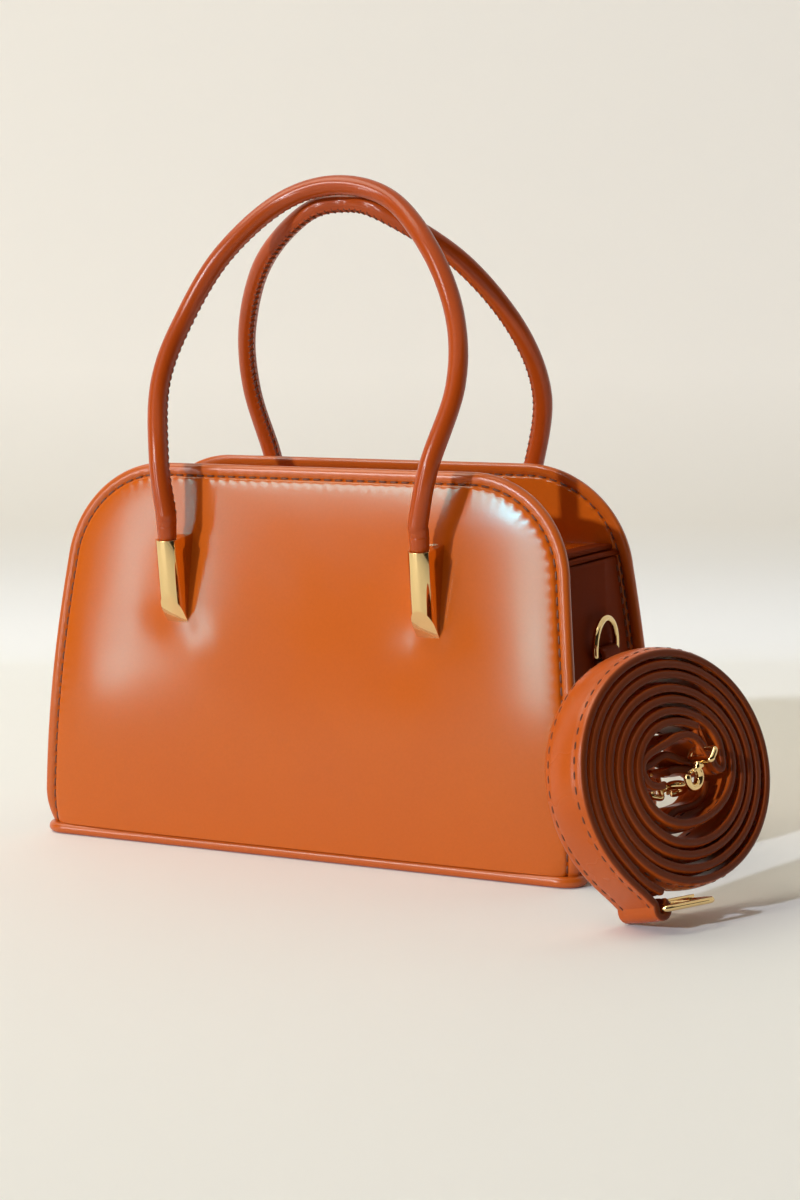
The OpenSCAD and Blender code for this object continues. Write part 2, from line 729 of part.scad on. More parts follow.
module hook_eye(share, turn, depth) {
    half = eye_in / 2 + eye_wire / 2;
    color(gold) hook_frame(share, turn, depth) {
        cylinder(r = eye_wire / 2, h = 2 * half, center = true, $fn = small_fn);
        for (s = [-1, 1]) translate([eye_len / 2, 0, s * half]) rod_x(eye_wire / 2, eye_len);
        for (s = [-1, 1], x = [0, eye_len]) translate([x, 0, s * half])
            sphere(r = eye_wire / 2, $fn = small_fn);
        translate([eye_len, 0, 0]) cylinder(r = eye_wire / 2, h = 2 * half, center = true, $fn = small_fn);
    }
}
bend_x = eye_len + eye_wire / 2 + run_gap + shank_len + hook_r;
bend_end = -75;
module hook_body(share, turn, depth) {
    shank_at = eye_len + eye_wire / 2 + run_gap;
    color(gold) hook_frame(share, turn, depth) {
        translate([shank_at, 0, 0]) rotate([0, 90, 0])
            cylinder(r = shank_r, h = shank_len, $fn = small_fn);
        translate([bend_x, 0, 0]) rotate([0, 0, bend_end])
            rotate_extrude(angle = 180 - bend_end, $fn = 2 * small_fn) translate([hook_r, 0])
                circle(r = hook_wire / 2, $fn = small_fn);
        translate([bend_x - hook_r, 0, 0]) sphere(r = hook_wire / 2, $fn = small_fn);
    }
}
gate_r = hook_wire / 3;
gate_from = [-hook_r * 0.62, -hook_r * 0.45];
gate_to = [-hook_r * 0.02, -hook_r * 0.8];
module hook_gate(share, turn, depth) {
    way = gate_to - gate_from;
    color(gold) hook_frame(share, turn, depth) translate([bend_x + gate_from[0], gate_from[1], 0]) {
        sphere(r = gate_r, $fn = small_fn);
        rotate([0, 0, atan2(way[1], way[0])]) rotate([0, 90, 0])
            cylinder(r = gate_r, h = norm(way), $fn = small_fn);
    }
}

panel(true);  // front_panel
panel(false);  // back_panel
edge_bead(true);  // front_edge_bead
edge_bead(false);  // back_edge_bead
stiff_board(true);  // front_board
stiff_board(false);  // back_board
base_piping(true);  // front_base_piping
base_piping(false);  // back_base_piping
base_leather();  // base_panel
base_stiffener();  // base_board
gusset(true);  // left_gusset
gusset(false);  // right_gusset
bag_lining();  // lining
lug(true, true);  // front_left_lug
lug(true, false);  // front_right_lug
lug(false, true);  // back_left_lug
lug(false, false);  // back_right_lug
screws();  // lug_screws
washers();  // lug_washers
ring_tab(true);  // left_ring_tab
ring_tab(false);  // right_ring_tab
zip_end(true);  // left_zip_end
zip_end(false);  // right_zip_end
zip_flap(true);  // front_zip_flap
zip_tape(true);  // front_zip_tape
zip_teeth(true);  // front_zip_teeth
zip_flap(false);  // back_zip_flap
zip_tape(false);  // back_zip_tape
zip_teeth(false);  // back_zip_teeth
slider_body();  // zip_slider
pull_tag();  // zip_pull
handle_skin(true, front_arch_shares, front_rise);  // front_handle_skin
handle_core(true, front_arch_shares, front_rise);  // front_handle_core
handle_roots(true);  // front_handle_roots
handle_skin(false, back_arch_shares, back_rise);  // back_handle_skin
handle_core(false, back_arch_shares, back_rise);  // back_handle_core
handle_roots(false);  // back_handle_roots
side_ring(true);  // left_ring
side_ring(false);  // right_ring
outer_strand();  // strap_outer_strand
inner_strand();  // strap_inner_strand
buckle_wire_frame();  // buckle_frame
prong();  // buckle_prong
hook_eye(upper_eye_share, upper_turn, upper_depth);  // upper_hook_eye
hook_body(upper_eye_share, upper_turn, upper_depth);  // upper_hook_body
hook_gate(upper_eye_share, upper_turn, upper_depth);  // upper_hook_gate
hook_eye(lower_eye_share, lower_turn, lower_depth);  // lower_hook_eye
hook_body(lower_eye_share, lower_turn, lower_depth);  // lower_hook_body
hook_gate(lower_eye_share, lower_turn, lower_depth);  // lower_hook_gate
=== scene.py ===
import math
import bmesh
import bpy
import numpy as np
from mathutils import Matrix, Vector


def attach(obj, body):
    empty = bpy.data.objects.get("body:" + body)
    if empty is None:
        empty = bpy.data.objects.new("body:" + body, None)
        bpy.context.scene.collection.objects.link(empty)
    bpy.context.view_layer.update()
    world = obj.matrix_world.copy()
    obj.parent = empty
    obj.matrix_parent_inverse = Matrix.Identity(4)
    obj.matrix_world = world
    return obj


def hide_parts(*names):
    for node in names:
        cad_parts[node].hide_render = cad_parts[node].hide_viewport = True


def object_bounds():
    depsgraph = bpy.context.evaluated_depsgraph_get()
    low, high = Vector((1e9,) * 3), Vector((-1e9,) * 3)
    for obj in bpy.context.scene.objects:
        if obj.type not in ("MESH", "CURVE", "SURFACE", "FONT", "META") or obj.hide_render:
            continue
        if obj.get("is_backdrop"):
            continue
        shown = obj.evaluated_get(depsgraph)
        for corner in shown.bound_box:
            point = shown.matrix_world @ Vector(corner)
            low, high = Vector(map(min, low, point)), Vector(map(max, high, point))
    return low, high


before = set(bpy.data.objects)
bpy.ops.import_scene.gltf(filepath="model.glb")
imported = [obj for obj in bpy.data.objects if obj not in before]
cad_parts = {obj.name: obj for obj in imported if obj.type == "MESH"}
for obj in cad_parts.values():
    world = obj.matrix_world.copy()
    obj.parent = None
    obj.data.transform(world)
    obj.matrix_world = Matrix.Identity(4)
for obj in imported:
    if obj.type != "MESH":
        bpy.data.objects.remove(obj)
cadLow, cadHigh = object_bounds()
mm = 0.001  # shapes are worked out in millimetres and become metres when a mesh is filled
print("frame loaded,", len(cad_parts), "nodes")


# Direction toward an azimuth and elevation: (sin az cos el, -cos az cos el, sin el)
def toward(azimuth, elevation):
    az, el = math.radians(azimuth), math.radians(elevation)
    return Vector((math.sin(az) * math.cos(el), -math.cos(az) * math.cos(el), math.sin(el)))


def linked(name, data):
    item = bpy.data.objects.new(name, data)
    bpy.context.scene.collection.objects.link(item)
    return item


# Camera of the photograph, solved from the edges of the bag
camera = dict(place=(476.3, -916.9, 229.3), azimuth=26.184, elevation=6.997, roll=-0.157, lens=73.83)


def addCamera():
    data = bpy.data.cameras.new("photoCamera")
    data.sensor_width = 36
    data.lens = camera["lens"]
    data.clip_start, data.clip_end = 0.05, 50
    item = linked("photoCamera", data)
    roll = math.radians(camera["roll"])
    back = toward(camera["azimuth"], camera["elevation"])
    right = Vector((0, 0, 1)).cross(back).normalized()
    up = back.cross(right)
    turned = right * math.cos(roll) + up * math.sin(roll)
    axes = Matrix((turned, back.cross(turned), back)).transposed().to_4x4()
    item.matrix_world = Matrix.Translation(Vector(camera["place"]) * mm) @ axes
    bpy.context.scene.camera = item


addCamera()
print("camera set")


# Node helpers
def newGroup(name, inputs, outputs):
    tree = bpy.data.node_groups.new(name, "ShaderNodeTree")
    for label, kind, value in inputs:
        socket = tree.interface.new_socket(label, in_out="INPUT", socket_type="NodeSocket" + kind)
        if value is not None:
            socket.default_value = value
    for label, kind in outputs:
        tree.interface.new_socket(label, in_out="OUTPUT", socket_type="NodeSocket" + kind)
    return tree, tree.nodes.new("NodeGroupInput"), tree.nodes.new("NodeGroupOutput")


def mathNode(tree, operation, first, second=None, third=None, clamp=False):
    node = tree.nodes.new("ShaderNodeMath")
    node.operation = operation
    node.use_clamp = clamp
    for slot, value in enumerate((first, second, third)):
        if value is None:
            continue
        if isinstance(value, (int, float)):
            node.inputs[slot].default_value = value
        else:
            tree.links.new(value, node.inputs[slot])
    return node.outputs[0]


def mixColour(tree, factor, first, second, blend="MIX"):
    node = tree.nodes.new("ShaderNodeMix")
    node.data_type = "RGBA"
    node.blend_type = blend
    for socket, value in ((node.inputs[0], factor), (node.inputs[6], first), (node.inputs[7], second)):
        if isinstance(value, (int, float, tuple)):
            socket.default_value = value
        else:
            tree.links.new(value, socket)
    return node.outputs[2]


def takeAway(tree, value, amount, clamp=False):
    return mathNode(tree, "SUBTRACT", value, amount, clamp=clamp)


def stretched(tree, vector, scale):
    node = tree.nodes.new("ShaderNodeVectorMath")
    node.operation = "MULTIPLY"
    node.inputs[1].default_value = scale
    tree.links.new(vector, node.inputs[0])
    return node.outputs[0]


def noiseNode(tree, vector, scale, detail=2.0, rough=0.5):
    node = tree.nodes.new("ShaderNodeTexNoise")
    node.inputs["Scale"].default_value = scale
    node.inputs["Detail"].default_value = detail
    node.inputs["Roughness"].default_value = rough
    tree.links.new(vector, node.inputs["Vector"])
    return node.outputs["Fac"]


# Smooth coated leather: soft patches of shade, fine lines pressed along X, tiny pores
def makeLeatherGroup():
    tree, start, end = newGroup("smoothLeather", [
        ("Coordinates", "Vector", None), ("Colour", "Color", (0.6, 0.15, 0.04, 1)),
        ("Shade", "Color", (0.4, 0.09, 0.02, 1)), ("Patches", "Float", 0.3),
        ("Lines", "Float", 0.5), ("Pores", "Float", 0.5), ("Gloss", "Float", 0.4)],
        [("Colour", "Color"), ("Roughness", "Float"), ("Height", "Float")])
    place = start.outputs["Coordinates"]
    cloud = noiseNode(tree, place, 26, 3, 0.55)
    speck = noiseNode(tree, place, 900, 2, 0.6)
    lines = noiseNode(tree, stretched(tree, place, (45, 45, 1500)), 1, 2, 0.6)
    cells = tree.nodes.new("ShaderNodeTexVoronoi")
    cells.inputs["Scale"].default_value = 1500
    tree.links.new(place, cells.inputs["Vector"])
    spread = mathNode(tree, "MULTIPLY", takeAway(tree, cloud, 0.42, True), 3.2, clamp=True)
    factor = mathNode(tree, "MULTIPLY", spread, start.outputs["Patches"], clamp=True)
    tone = mixColour(tree, factor, start.outputs["Colour"], start.outputs["Shade"])
    dim = mathNode(tree, "MULTIPLY_ADD", speck, 0.12, 0.94)
    grey = tree.nodes.new("ShaderNodeCombineColor")
    for k in range(3):
        tree.links.new(dim, grey.inputs[k])
    tree.links.new(mixColour(tree, 1.0, tone, grey.outputs[0], "MULTIPLY"), end.inputs["Colour"])
    rough = mathNode(tree, "MULTIPLY_ADD", takeAway(tree, cloud, 0.5), 0.1, start.outputs["Gloss"])
    streak = mathNode(tree, "MULTIPLY", takeAway(tree, lines, 0.5), start.outputs["Lines"])
    rough = mathNode(tree, "MULTIPLY_ADD", streak, 0.25, rough)
    tree.links.new(rough, end.inputs["Roughness"])
    height = mathNode(tree, "MULTIPLY", lines, start.outputs["Lines"])
    height = mathNode(tree, "MULTIPLY_ADD", cells.outputs["Distance"], start.outputs["Pores"], height)
    tree.links.new(height, end.inputs["Height"])
    return tree


# Darker, duller tone where the attribute wear is high: partly the paint and rubbing of cut edges, partly
# painted shade on the strap edges that make the roll's shaded face
def makeWearGroup():
    tree, start, end = newGroup("edgeWear", [
        ("Colour", "Color", (1, 1, 1, 1)), ("WornAndShaded", "Color", (0.2, 0.05, 0.01, 1)),
        ("Roughness", "Float", 0.4), ("Wear", "Float", 0.0), ("Amount", "Float", 0.6)],
        [("Colour", "Color"), ("Roughness", "Float")])
    factor = mathNode(tree, "MULTIPLY", start.outputs["Wear"], start.outputs["Amount"], clamp=True)
    colour = mixColour(tree, factor, start.outputs["Colour"], start.outputs["WornAndShaded"])
    tree.links.new(colour, end.inputs["Colour"])
    rough = mathNode(tree, "MULTIPLY_ADD", factor, 0.16, start.outputs["Roughness"])
    tree.links.new(rough, end.inputs["Roughness"])
    return tree


# Plain weave: two crossed waves, each thread painted a little lighter on its crown: a painted highlight on
# the raised thread, with painted shade between the threads
def makeWeaveGroup():
    tree, start, end = newGroup("plainWeave", [
        ("Coordinates", "Vector", None), ("Threads", "Float", 1800.0),
        ("Colour", "Color", (0.02, 0.02, 0.02, 1)), ("Crown", "Color", (0.07, 0.07, 0.07, 1))],
        [("Colour", "Color"), ("Height", "Float")])
    parts = tree.nodes.new("ShaderNodeSeparateXYZ")
    tree.links.new(start.outputs["Coordinates"], parts.inputs[0])
    across = mathNode(tree, "ADD", parts.outputs["Y"], parts.outputs["Z"])
    waves = []
    for value in (parts.outputs["X"], across):
        turn = mathNode(tree, "MULTIPLY", value, start.outputs["Threads"])
        waves.append(mathNode(tree, "ABSOLUTE", mathNode(tree, "SINE", turn)))
    cloth = mathNode(tree, "MULTIPLY", waves[0], waves[1])
    fuzz = noiseNode(tree, start.outputs["Coordinates"], 1200, 2, 0.6)
    factor = mathNode(tree, "MULTIPLY", cloth, fuzz, clamp=True)
    colour = mixColour(tree, factor, start.outputs["Colour"], start.outputs["Crown"])
    tree.links.new(colour, end.inputs["Colour"])
    tree.links.new(cloth, end.inputs["Height"])
    return tree


# Handling marks on metal: long faint hairlines and dull smudges
def makeMarksGroup():
    tree, start, end = newGroup("handlingMarks", [
        ("Coordinates", "Vector", None), ("Polish", "Float", 0.16),
        ("Smudge", "Float", 0.12)],
        [("Roughness", "Float"), ("Height", "Float")])
    place = start.outputs["Coordinates"]
    smudge = noiseNode(tree, place, 160, 3, 0.6)
    hair = noiseNode(tree, stretched(tree, place, (1600, 1600, 60)), 1, 1, 0.5)
    dull = mathNode(tree, "MULTIPLY", takeAway(tree, smudge, 0.4, True), start.outputs["Smudge"])
    tree.links.new(mathNode(tree, "ADD", dull, start.outputs["Polish"]), end.inputs["Roughness"])
    tree.links.new(hair, end.inputs["Height"])
    return tree


groups = dict(leather=makeLeatherGroup(), wearAndShade=makeWearGroup(), weave=makeWeaveGroup(),
              marks=makeMarksGroup())


def newMaterial(name):
    material = bpy.data.materials.new(name)
    material.use_nodes = True
    tree = material.node_tree
    shader = tree.nodes["Principled BSDF"]
    place = tree.nodes.new("ShaderNodeTexCoord").outputs["Object"]
    return material, tree, shader, place


def useGroup(tree, key, place=None, **values):
    node = tree.nodes.new("ShaderNodeGroup")
    node.node_tree = groups[key]
    for label, value in values.items():
        if isinstance(value, (int, float, tuple)):
            node.inputs[label].default_value = value
        else:
            tree.links.new(value, node.inputs[label])
    if place is not None:
        tree.links.new(place, node.inputs["Coordinates"])
    return node


def addBump(tree, shader, height, strength, distance):
    bump = tree.nodes.new("ShaderNodeBump")
    bump.inputs["Strength"].default_value = strength
    bump.inputs["Distance"].default_value = distance
    tree.links.new(height, bump.inputs["Height"])
    tree.links.new(bump.outputs[0], shader.inputs["Normal"])


leatherLooks = dict(
    cognac=dict(colour=(0.545, 0.101, 0.006, 1), shade=(0.505, 0.087, 0.005, 1), patches=0.35, lines=0.12,
                pores=0.2, gloss=0.168, shine=0.36, coat=0.0, coatGloss=0.3, tint=(0.20, 0.97, 1.0, 1)),
    piping=dict(colour=(0.500, 0.092, 0.008, 1), shade=(0.430, 0.073, 0.006, 1), patches=0.3, lines=0.0,
                pores=0.25, gloss=0.30, shine=0.22, coat=0.40, coatGloss=0.15, tint=(0.6, 0.97, 1.0, 1)),
    handle=dict(colour=(0.400, 0.056, 0.004, 1), shade=(0.325, 0.042, 0.003, 1), patches=0.4, lines=0.0,
                pores=0.3, gloss=0.32, shine=0.14, coat=0.42, coatGloss=0.14, tint=(0.6, 0.97, 1.0, 1)),
    strap=dict(colour=(0.470, 0.082, 0.008, 1), shade=(0.400, 0.064, 0.006, 1), patches=0.4, lines=0.0,
               pores=0.35, gloss=0.28, shine=0.24, coat=0.0, coatGloss=0.3, tint=(0.6, 0.97, 1.0, 1)),
    # inner: the same cognac leather as the panels, painted much darker: painted shade for the sides and base,
    # which lie out of the light
    inner=dict(colour=(0.170, 0.022, 0.003, 1), shade=(0.130, 0.016, 0.002, 1), patches=0.4, lines=0.2,
               pores=0.4, gloss=0.60, shine=0.02, coat=0.0, coatGloss=0.3, tint=(1.0, 0.7, 0.5, 1)))

leatherInputs = ("colour", "shade", "patches", "lines", "pores", "gloss")
shaderInputs = {"Specular IOR Level": "shine", "Coat Weight": "coat", "Coat Roughness": "coatGloss",
                "Specular Tint": "tint"}
# Near-black tone and its share where wear is high: edge paint and rubbing, and also painted shade on the
# roll's face of strap edges
wornAndShadedLook = dict(Amount=0.75, WornAndShaded=(0.030, 0.002, 0.0005, 1))


def makeLeather(name, look):
    material, tree, shader, place = newMaterial(name)
    skin = useGroup(tree, "leather", place, **{key.capitalize(): look[key] for key in leatherInputs})
    # The wear attribute carries real edge wear and painted shade on the strap's edges
    wearAndShade = tree.nodes.new("ShaderNodeAttribute")
    wearAndShade.attribute_name = "wearAndShade"
    wornAndShaded = useGroup(tree, "wearAndShade", Colour=skin.outputs["Colour"], Roughness=skin.outputs["Roughness"],
                    Wear=wearAndShade.outputs["Fac"], **wornAndShadedLook)
    tree.links.new(wornAndShaded.outputs["Colour"], shader.inputs["Base Color"])
    tree.links.new(wornAndShaded.outputs["Roughness"], shader.inputs["Roughness"])
    for socket, key in shaderInputs.items():
        shader.inputs[socket].default_value = look[key]
    addBump(tree, shader, skin.outputs["Height"], 0.35, 0.00006)
    return material


def makeGold(name, colour, polish, smudge):
    material, tree, shader, place = newMaterial(name)
    marks = useGroup(tree, "marks", place, Polish=polish, Smudge=smudge)
    shader.inputs["Base Color"].default_value = colour
    shader.inputs["Metallic"].default_value = 1
    tree.links.new(marks.outputs["Roughness"], shader.inputs["Roughness"])
    addBump(tree, shader, marks.outputs["Height"], 0.12, 0.00002)
    return material


# Cloth: crown is the lighter tone painted on each thread's crown, a painted highlight
def makeCloth(name, colour, crown, threads, rough):
    material, tree, shader, place = newMaterial(name)
    cloth = useGroup(tree, "weave", place, Threads=threads, Colour=colour, Crown=crown)
    tree.links.new(cloth.outputs["Colour"], shader.inputs["Base Color"])
    shader.inputs["Roughness"].default_value = rough
    shader.inputs["Sheen Weight"].default_value = 0.15
    addBump(tree, shader, cloth.outputs["Height"], 0.5, 0.00012)
    return material


# Thread: twisted strands seen as slanted waves, painted darker in the grooves between strands and lighter on
# their raised tops: painted shade and painted highlight
def makeThread():
    material, tree, shader, place = newMaterial("cognacThread")
    wave = tree.nodes.new("ShaderNodeTexWave")
    wave.inputs["Scale"].default_value = 900
    wave.bands_direction = "DIAGONAL"
    tree.links.new(place, wave.inputs["Vector"])
    colour = mixColour(tree, wave.outputs["Fac"], (0.085, 0.020, 0.006, 1), (0.20, 0.045, 0.012, 1))
    tree.links.new(colour, shader.inputs["Base Color"])
    shader.inputs["Roughness"].default_value = 0.55
    addBump(tree, shader, wave.outputs["Fac"], 0.4, 0.00008)
    return material


# Pressed board: short fibres in two shades
def makeBoard():
    material, tree, shader, place = newMaterial("pressedBoard")
    fibre = noiseNode(tree, stretched(tree, place, (300, 300, 900)), 1, 4, 0.65)
    colour = mixColour(tree, fibre, (0.22, 0.19, 0.16, 1), (0.36, 0.33, 0.28, 1))
    tree.links.new(colour, shader.inputs["Base Color"])
    shader.inputs["Roughness"].default_value = 0.85
    addBump(tree, shader, fibre, 0.4, 0.0001)
    return material


materials = {key: makeLeather(key + "Leather", look) for key, look in leatherLooks.items()}
materials["gold"] = makeGold("paleGold", (0.84, 0.61, 0.29, 1), 0.05, 0.12)
materials["thread"] = makeThread()
materials["tape"] = makeCloth("zipTape", (0.008, 0.008, 0.009, 1), (0.035, 0.035, 0.038, 1), 4200.0, 0.8)
materials["lining"] = makeCloth("liningCloth", (0.020, 0.015, 0.012, 1), (0.075, 0.055, 0.045, 1),
                                5200.0, 0.9)
materials["board"] = makeBoard()
print("materials made")


# A shape is (points, quads, triangles), with points in millimetres
noTris = np.zeros((0, 3), int)


def gridQuads(rows, cols, wrapRows, wrapCols):
    r = np.arange(rows if wrapRows else rows - 1)[:, None]
    c = np.arange(cols if wrapCols else cols - 1)[None, :]
    r2, c2 = (r + 1) % rows, (c + 1) % cols
    return np.stack([r * cols + c, r * cols + c2, r2 * cols + c2, r2 * cols + c], -1).reshape(-1, 4)


# Grid of points P(row, column); caps are fans from the mean of the first and of the last row
def gridShape(points, wrapRows=False, wrapCols=False, caps=False):
    rows, cols = points.shape[:2]
    flat = points.reshape(-1, 3)
    quads = gridQuads(rows, cols, wrapRows, wrapCols)
    if not caps:
        return flat, quads, noTris
    k = np.arange(cols)
    k2 = (k + 1) % cols
    first, last = len(flat), len(flat) + 1
    base = (rows - 1) * cols
    tris = np.concatenate([np.stack([k2, k, np.full(cols, first)], 1),
                           np.stack([base + k, base + k2, np.full(cols, last)], 1)])
    flat = np.concatenate([flat, points[0].mean(0)[None], points[-1].mean(0)[None]])
    return flat, quads, tris


def joined(shapes):
    counts = np.cumsum([0] + [len(s[0]) for s in shapes])
    return (np.concatenate([s[0] for s in shapes]),
            np.concatenate([s[1] + n for s, n in zip(shapes, counts)]),
            np.concatenate([s[2] + n for s, n in zip(shapes, counts)]))


def mirrored(shape, axis):
    points = shape[0].copy()
    points[:, axis] *= -1
    return points, shape[1][:, ::-1], shape[2][:, ::-1]


# Front pieces are the back ones mirrored in Y, and left pieces the right ones mirrored in X
def placed(shape, label):
    axis = dict(front=1, left=0).get(label)
    return shape if axis is None else mirrored(shape, axis)


def smoothMesh(mesh, sharp):
    mesh.polygons.foreach_set("use_smooth", np.ones(len(mesh.polygons), bool))
    mesh.set_sharp_from_angle(angle=math.radians(sharp))


def finishPiece(piece, material, body, nodes):
    piece.data.materials.clear()
    piece.data.materials.append(material)
    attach(piece, body)
    if nodes:
        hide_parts(*nodes)
    return piece


meshing = dict(merge=0.002, sharp=40, cadMerge=0.004, cadSharp=32, flatAngle=1, bevelAngle=28)


def addPiece(name, shape, material, body, nodes=(), wearAndShade=None):
    points, quads, tris = shape
    mesh = bpy.data.meshes.new(name)
    mesh.vertices.add(len(points))
    mesh.vertices.foreach_set("co", (points * mm).astype(np.float32).ravel())
    loops = np.concatenate([quads.ravel(), tris.ravel()]).astype(np.int32)
    mesh.loops.add(len(loops))
    mesh.loops.foreach_set("vertex_index", loops)
    starts = np.concatenate([np.arange(len(quads)) * 4, 4 * len(quads) + np.arange(len(tris)) * 3])
    mesh.polygons.add(len(starts))
    mesh.polygons.foreach_set("loop_start", starts.astype(np.int32))
    if wearAndShade is not None:
        mesh.attributes.new("wearAndShade", "FLOAT", "POINT").data.foreach_set("value", wearAndShade.astype(np.float32))
    mesh.update(calc_edges=True)
    mesh.validate()
    work = bmesh.new()
    work.from_mesh(mesh)
    bmesh.ops.remove_doubles(work, verts=work.verts, dist=meshing["merge"] * mm)
    bmesh.ops.recalc_face_normals(work, faces=work.faces)
    work.to_mesh(mesh)
    work.free()
    smoothMesh(mesh, meshing["sharp"])
    return finishPiece(linked(name, mesh), material, body, nodes)


# Adds pieces of one label: rows of end of its name, shape, material, body, slot, end of its node's name
def addSet(label, rows):
    for name, shape, material, body, slot, node in rows:
        nodes = [label + node] if node else ()
        addPiece(label + name, placed(shape, label), materials[material], body, nodes)


# A metal node's copy with merged facets and softly rounded edges
def bevelledCopy(name, node, body, width, steps=3):
    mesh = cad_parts[node].data.copy()
    work = bmesh.new()
    work.from_mesh(mesh)
    bmesh.ops.remove_doubles(work, verts=work.verts, dist=meshing["cadMerge"] * mm)
    bmesh.ops.dissolve_limit(work, angle_limit=math.radians(meshing["flatAngle"]), verts=work.verts,
                             edges=work.edges)
    least = math.radians(meshing["bevelAngle"])
    edges = [e for e in work.edges if len(e.link_faces) == 2 and e.calc_face_angle(0) > least]
    bmesh.ops.bevel(work, geom=edges, offset=width * mm, segments=steps, profile=0.5, affect="EDGES",
                    clamp_overlap=True)
    bmesh.ops.triangulate(work, faces=[f for f in work.faces if len(f.verts) > 4])
    work.to_mesh(mesh)
    work.free()
    mesh.name = name
    smoothMesh(mesh, meshing["cadSharp"])
    return finishPiece(linked(name, mesh), materials["gold"], body, [node])


def clamp(value):
    return np.clip(value, 0, 1)


def bell(value, width):
    return np.exp(-(value / width) ** 2)


def unit(vectors):
    return vectors / np.maximum(np.linalg.norm(vectors, axis=-1, keepdims=True), 1e-9)


def heading(path, closed=False):
    if closed:
        return unit(np.roll(path, -1, 0) - np.roll(path, 1, 0))
    return unit(np.gradient(path, axis=0))


def alongPath(path):
    return np.concatenate([[0], np.cumsum(np.linalg.norm(np.diff(path, axis=0), axis=1))])


# Values that are known along a path, read at other lengths
def sampled(at, length, values):
    return np.stack([np.interp(at, length, values[:, k]) for k in range(values.shape[1])], 1)


# The same direction at every point of a path
def every(direction, path):
    return np.broadcast_to(np.asarray(direction, float), path.shape)


# The same path with even spacing, found by its length so far
def evenly(path, spacing, closed=False):
    full = np.concatenate([path, path[:1]]) if closed else path
    length = alongPath(full)
    count = max(4, int(round(length[-1] / spacing)))
    at = np.linspace(0, length[-1], count, endpoint=not closed)
    return sampled(at, length, full)


# Rounded by a bell-shaped average over the neighbours, width in samples
def softened(path, width, closed=False):
    reach = int(math.ceil(3 * width))
    bell = np.exp(-0.5 * (np.arange(-reach, reach + 1) / width) ** 2)
    bell /= bell.sum()
    if closed:
        padded = np.concatenate([path[-reach:], path, path[:reach]])
    else:
        before = 2 * path[0] - path[reach:0:-1]
        after = 2 * path[-1] - path[-2:-reach - 2:-1]
        padded = np.concatenate([before, path, after])
    return np.stack([np.convolve(padded[:, k], bell, "valid") for k in range(path.shape[1])], 1)


# Curve through points: each span is the cubic of its two ends and their neighbours
def curveThrough(points, steps):
    p = np.asarray(points, float)
    a, b, c, d = (p[k:len(p) - 3 + k][:, None] for k in range(4))
    t = (np.arange(steps) / steps)[None, :, None]
    span = (2 * b + (c - a) * t + (2 * a - 5 * b + 4 * c - d) * t ** 2 + (3 * b - a - 3 * c + d) * t ** 3) / 2
    return np.concatenate([span.reshape(-1, p.shape[1]), p[-2:-1]])


# A profile carried along a path: P = path + profile.x * side + profile.y * up
def sweep(path, side, up, profile, closed=False):
    if profile.ndim == 2:
        profile = np.broadcast_to(profile, (len(path),) + profile.shape)
    points = path[:, None] + profile[..., :1] * side[:, None] + profile[..., 1:] * up[:, None]
    return gridShape(points, wrapRows=closed, wrapCols=True, caps=not closed)


def circle(sides):
    a = np.linspace(0, 2 * np.pi, sides, endpoint=False)
    return np.stack([np.cos(a), np.sin(a)], 1)


# Direction across a path that lies nearest to a fixed one: side = reference - (reference . way) way
def besides(way, reference):
    ref = every(reference, way)
    return unit(ref - (ref * way).sum(1, keepdims=True) * way)


# Tube whose radius may change along it, framed by a fixed direction that the path never follows
def tube(path, radius, reference, sides=16, closed=False):
    way = heading(path, closed)
    side = besides(way, reference)
    radius = np.broadcast_to(np.asarray(radius, float), (len(path),))
    return sweep(path, side, np.cross(way, side), circle(sides)[None] * radius[:, None, None], closed)


# Outline of a bar with rounded corners, size (x, y), with points between the corners on the long sides
def roundedBar(sizeX, sizeY, radius, corner=4, along=1, across=1):
    hx, hy = sizeX / 2 - radius, sizeY / 2 - radius
    a = np.linspace(0, np.pi / 2, corner + 1)
    parts = []
    corners = [(hx, hy), (-hx, hy), (-hx, -hy), (hx, -hy)]
    for turn, (cx, cy) in enumerate(corners):
        b = a + turn * np.pi / 2
        parts.append(np.stack([cx + radius * np.cos(b), cy + radius * np.sin(b)], 1))
        more = along if turn % 2 == 0 else across
        last = (turn + 1) * math.pi / 2
        end = np.array(corners[(turn + 1) % 4]) + radius * np.array([math.cos(last), math.sin(last)])
        t = np.linspace(0, 1, more + 1)[1:-1, None]
        parts.append(parts[-1][-1] * (1 - t) + end * t)
    return np.concatenate(parts)


# Stitches: small capsules laid along the seam, their ends dipping into the leather
def stitches(centres, along, outward, length, width):
    t = np.array([-1, -0.82, -0.4, 0.4, 0.82, 1.0])
    r = np.array([0.35, 0.8, 1.0, 1.0, 0.8, 0.35])
    ring = circle(6)
    local = np.empty((6, 6, 3))
    local[..., 0] = t[:, None] * length / 2
    local[..., 1] = r[:, None] * ring[None, :, 0] * width / 2
    local[..., 2] = r[:, None] * ring[None, :, 1] * width / 2 - 0.35 * width * t[:, None] ** 4
    one, quads, tris = gridShape(local, wrapCols=True, caps=True)
    along = unit(along)
    outward = unit(outward - (outward * along).sum(1, keepdims=True) * along)
    across = np.cross(outward, along)
    points = (centres[:, None] + one[None, :, :1] * along[:, None] + one[None, :, 1:2] * across[:, None]
              + one[None, :, 2:] * outward[:, None])
    shift = (np.arange(len(centres)) * len(one))[:, None, None]
    return points.reshape(-1, 3), (quads[None] + shift).reshape(-1, 4), (tris[None] + shift).reshape(-1, 3)


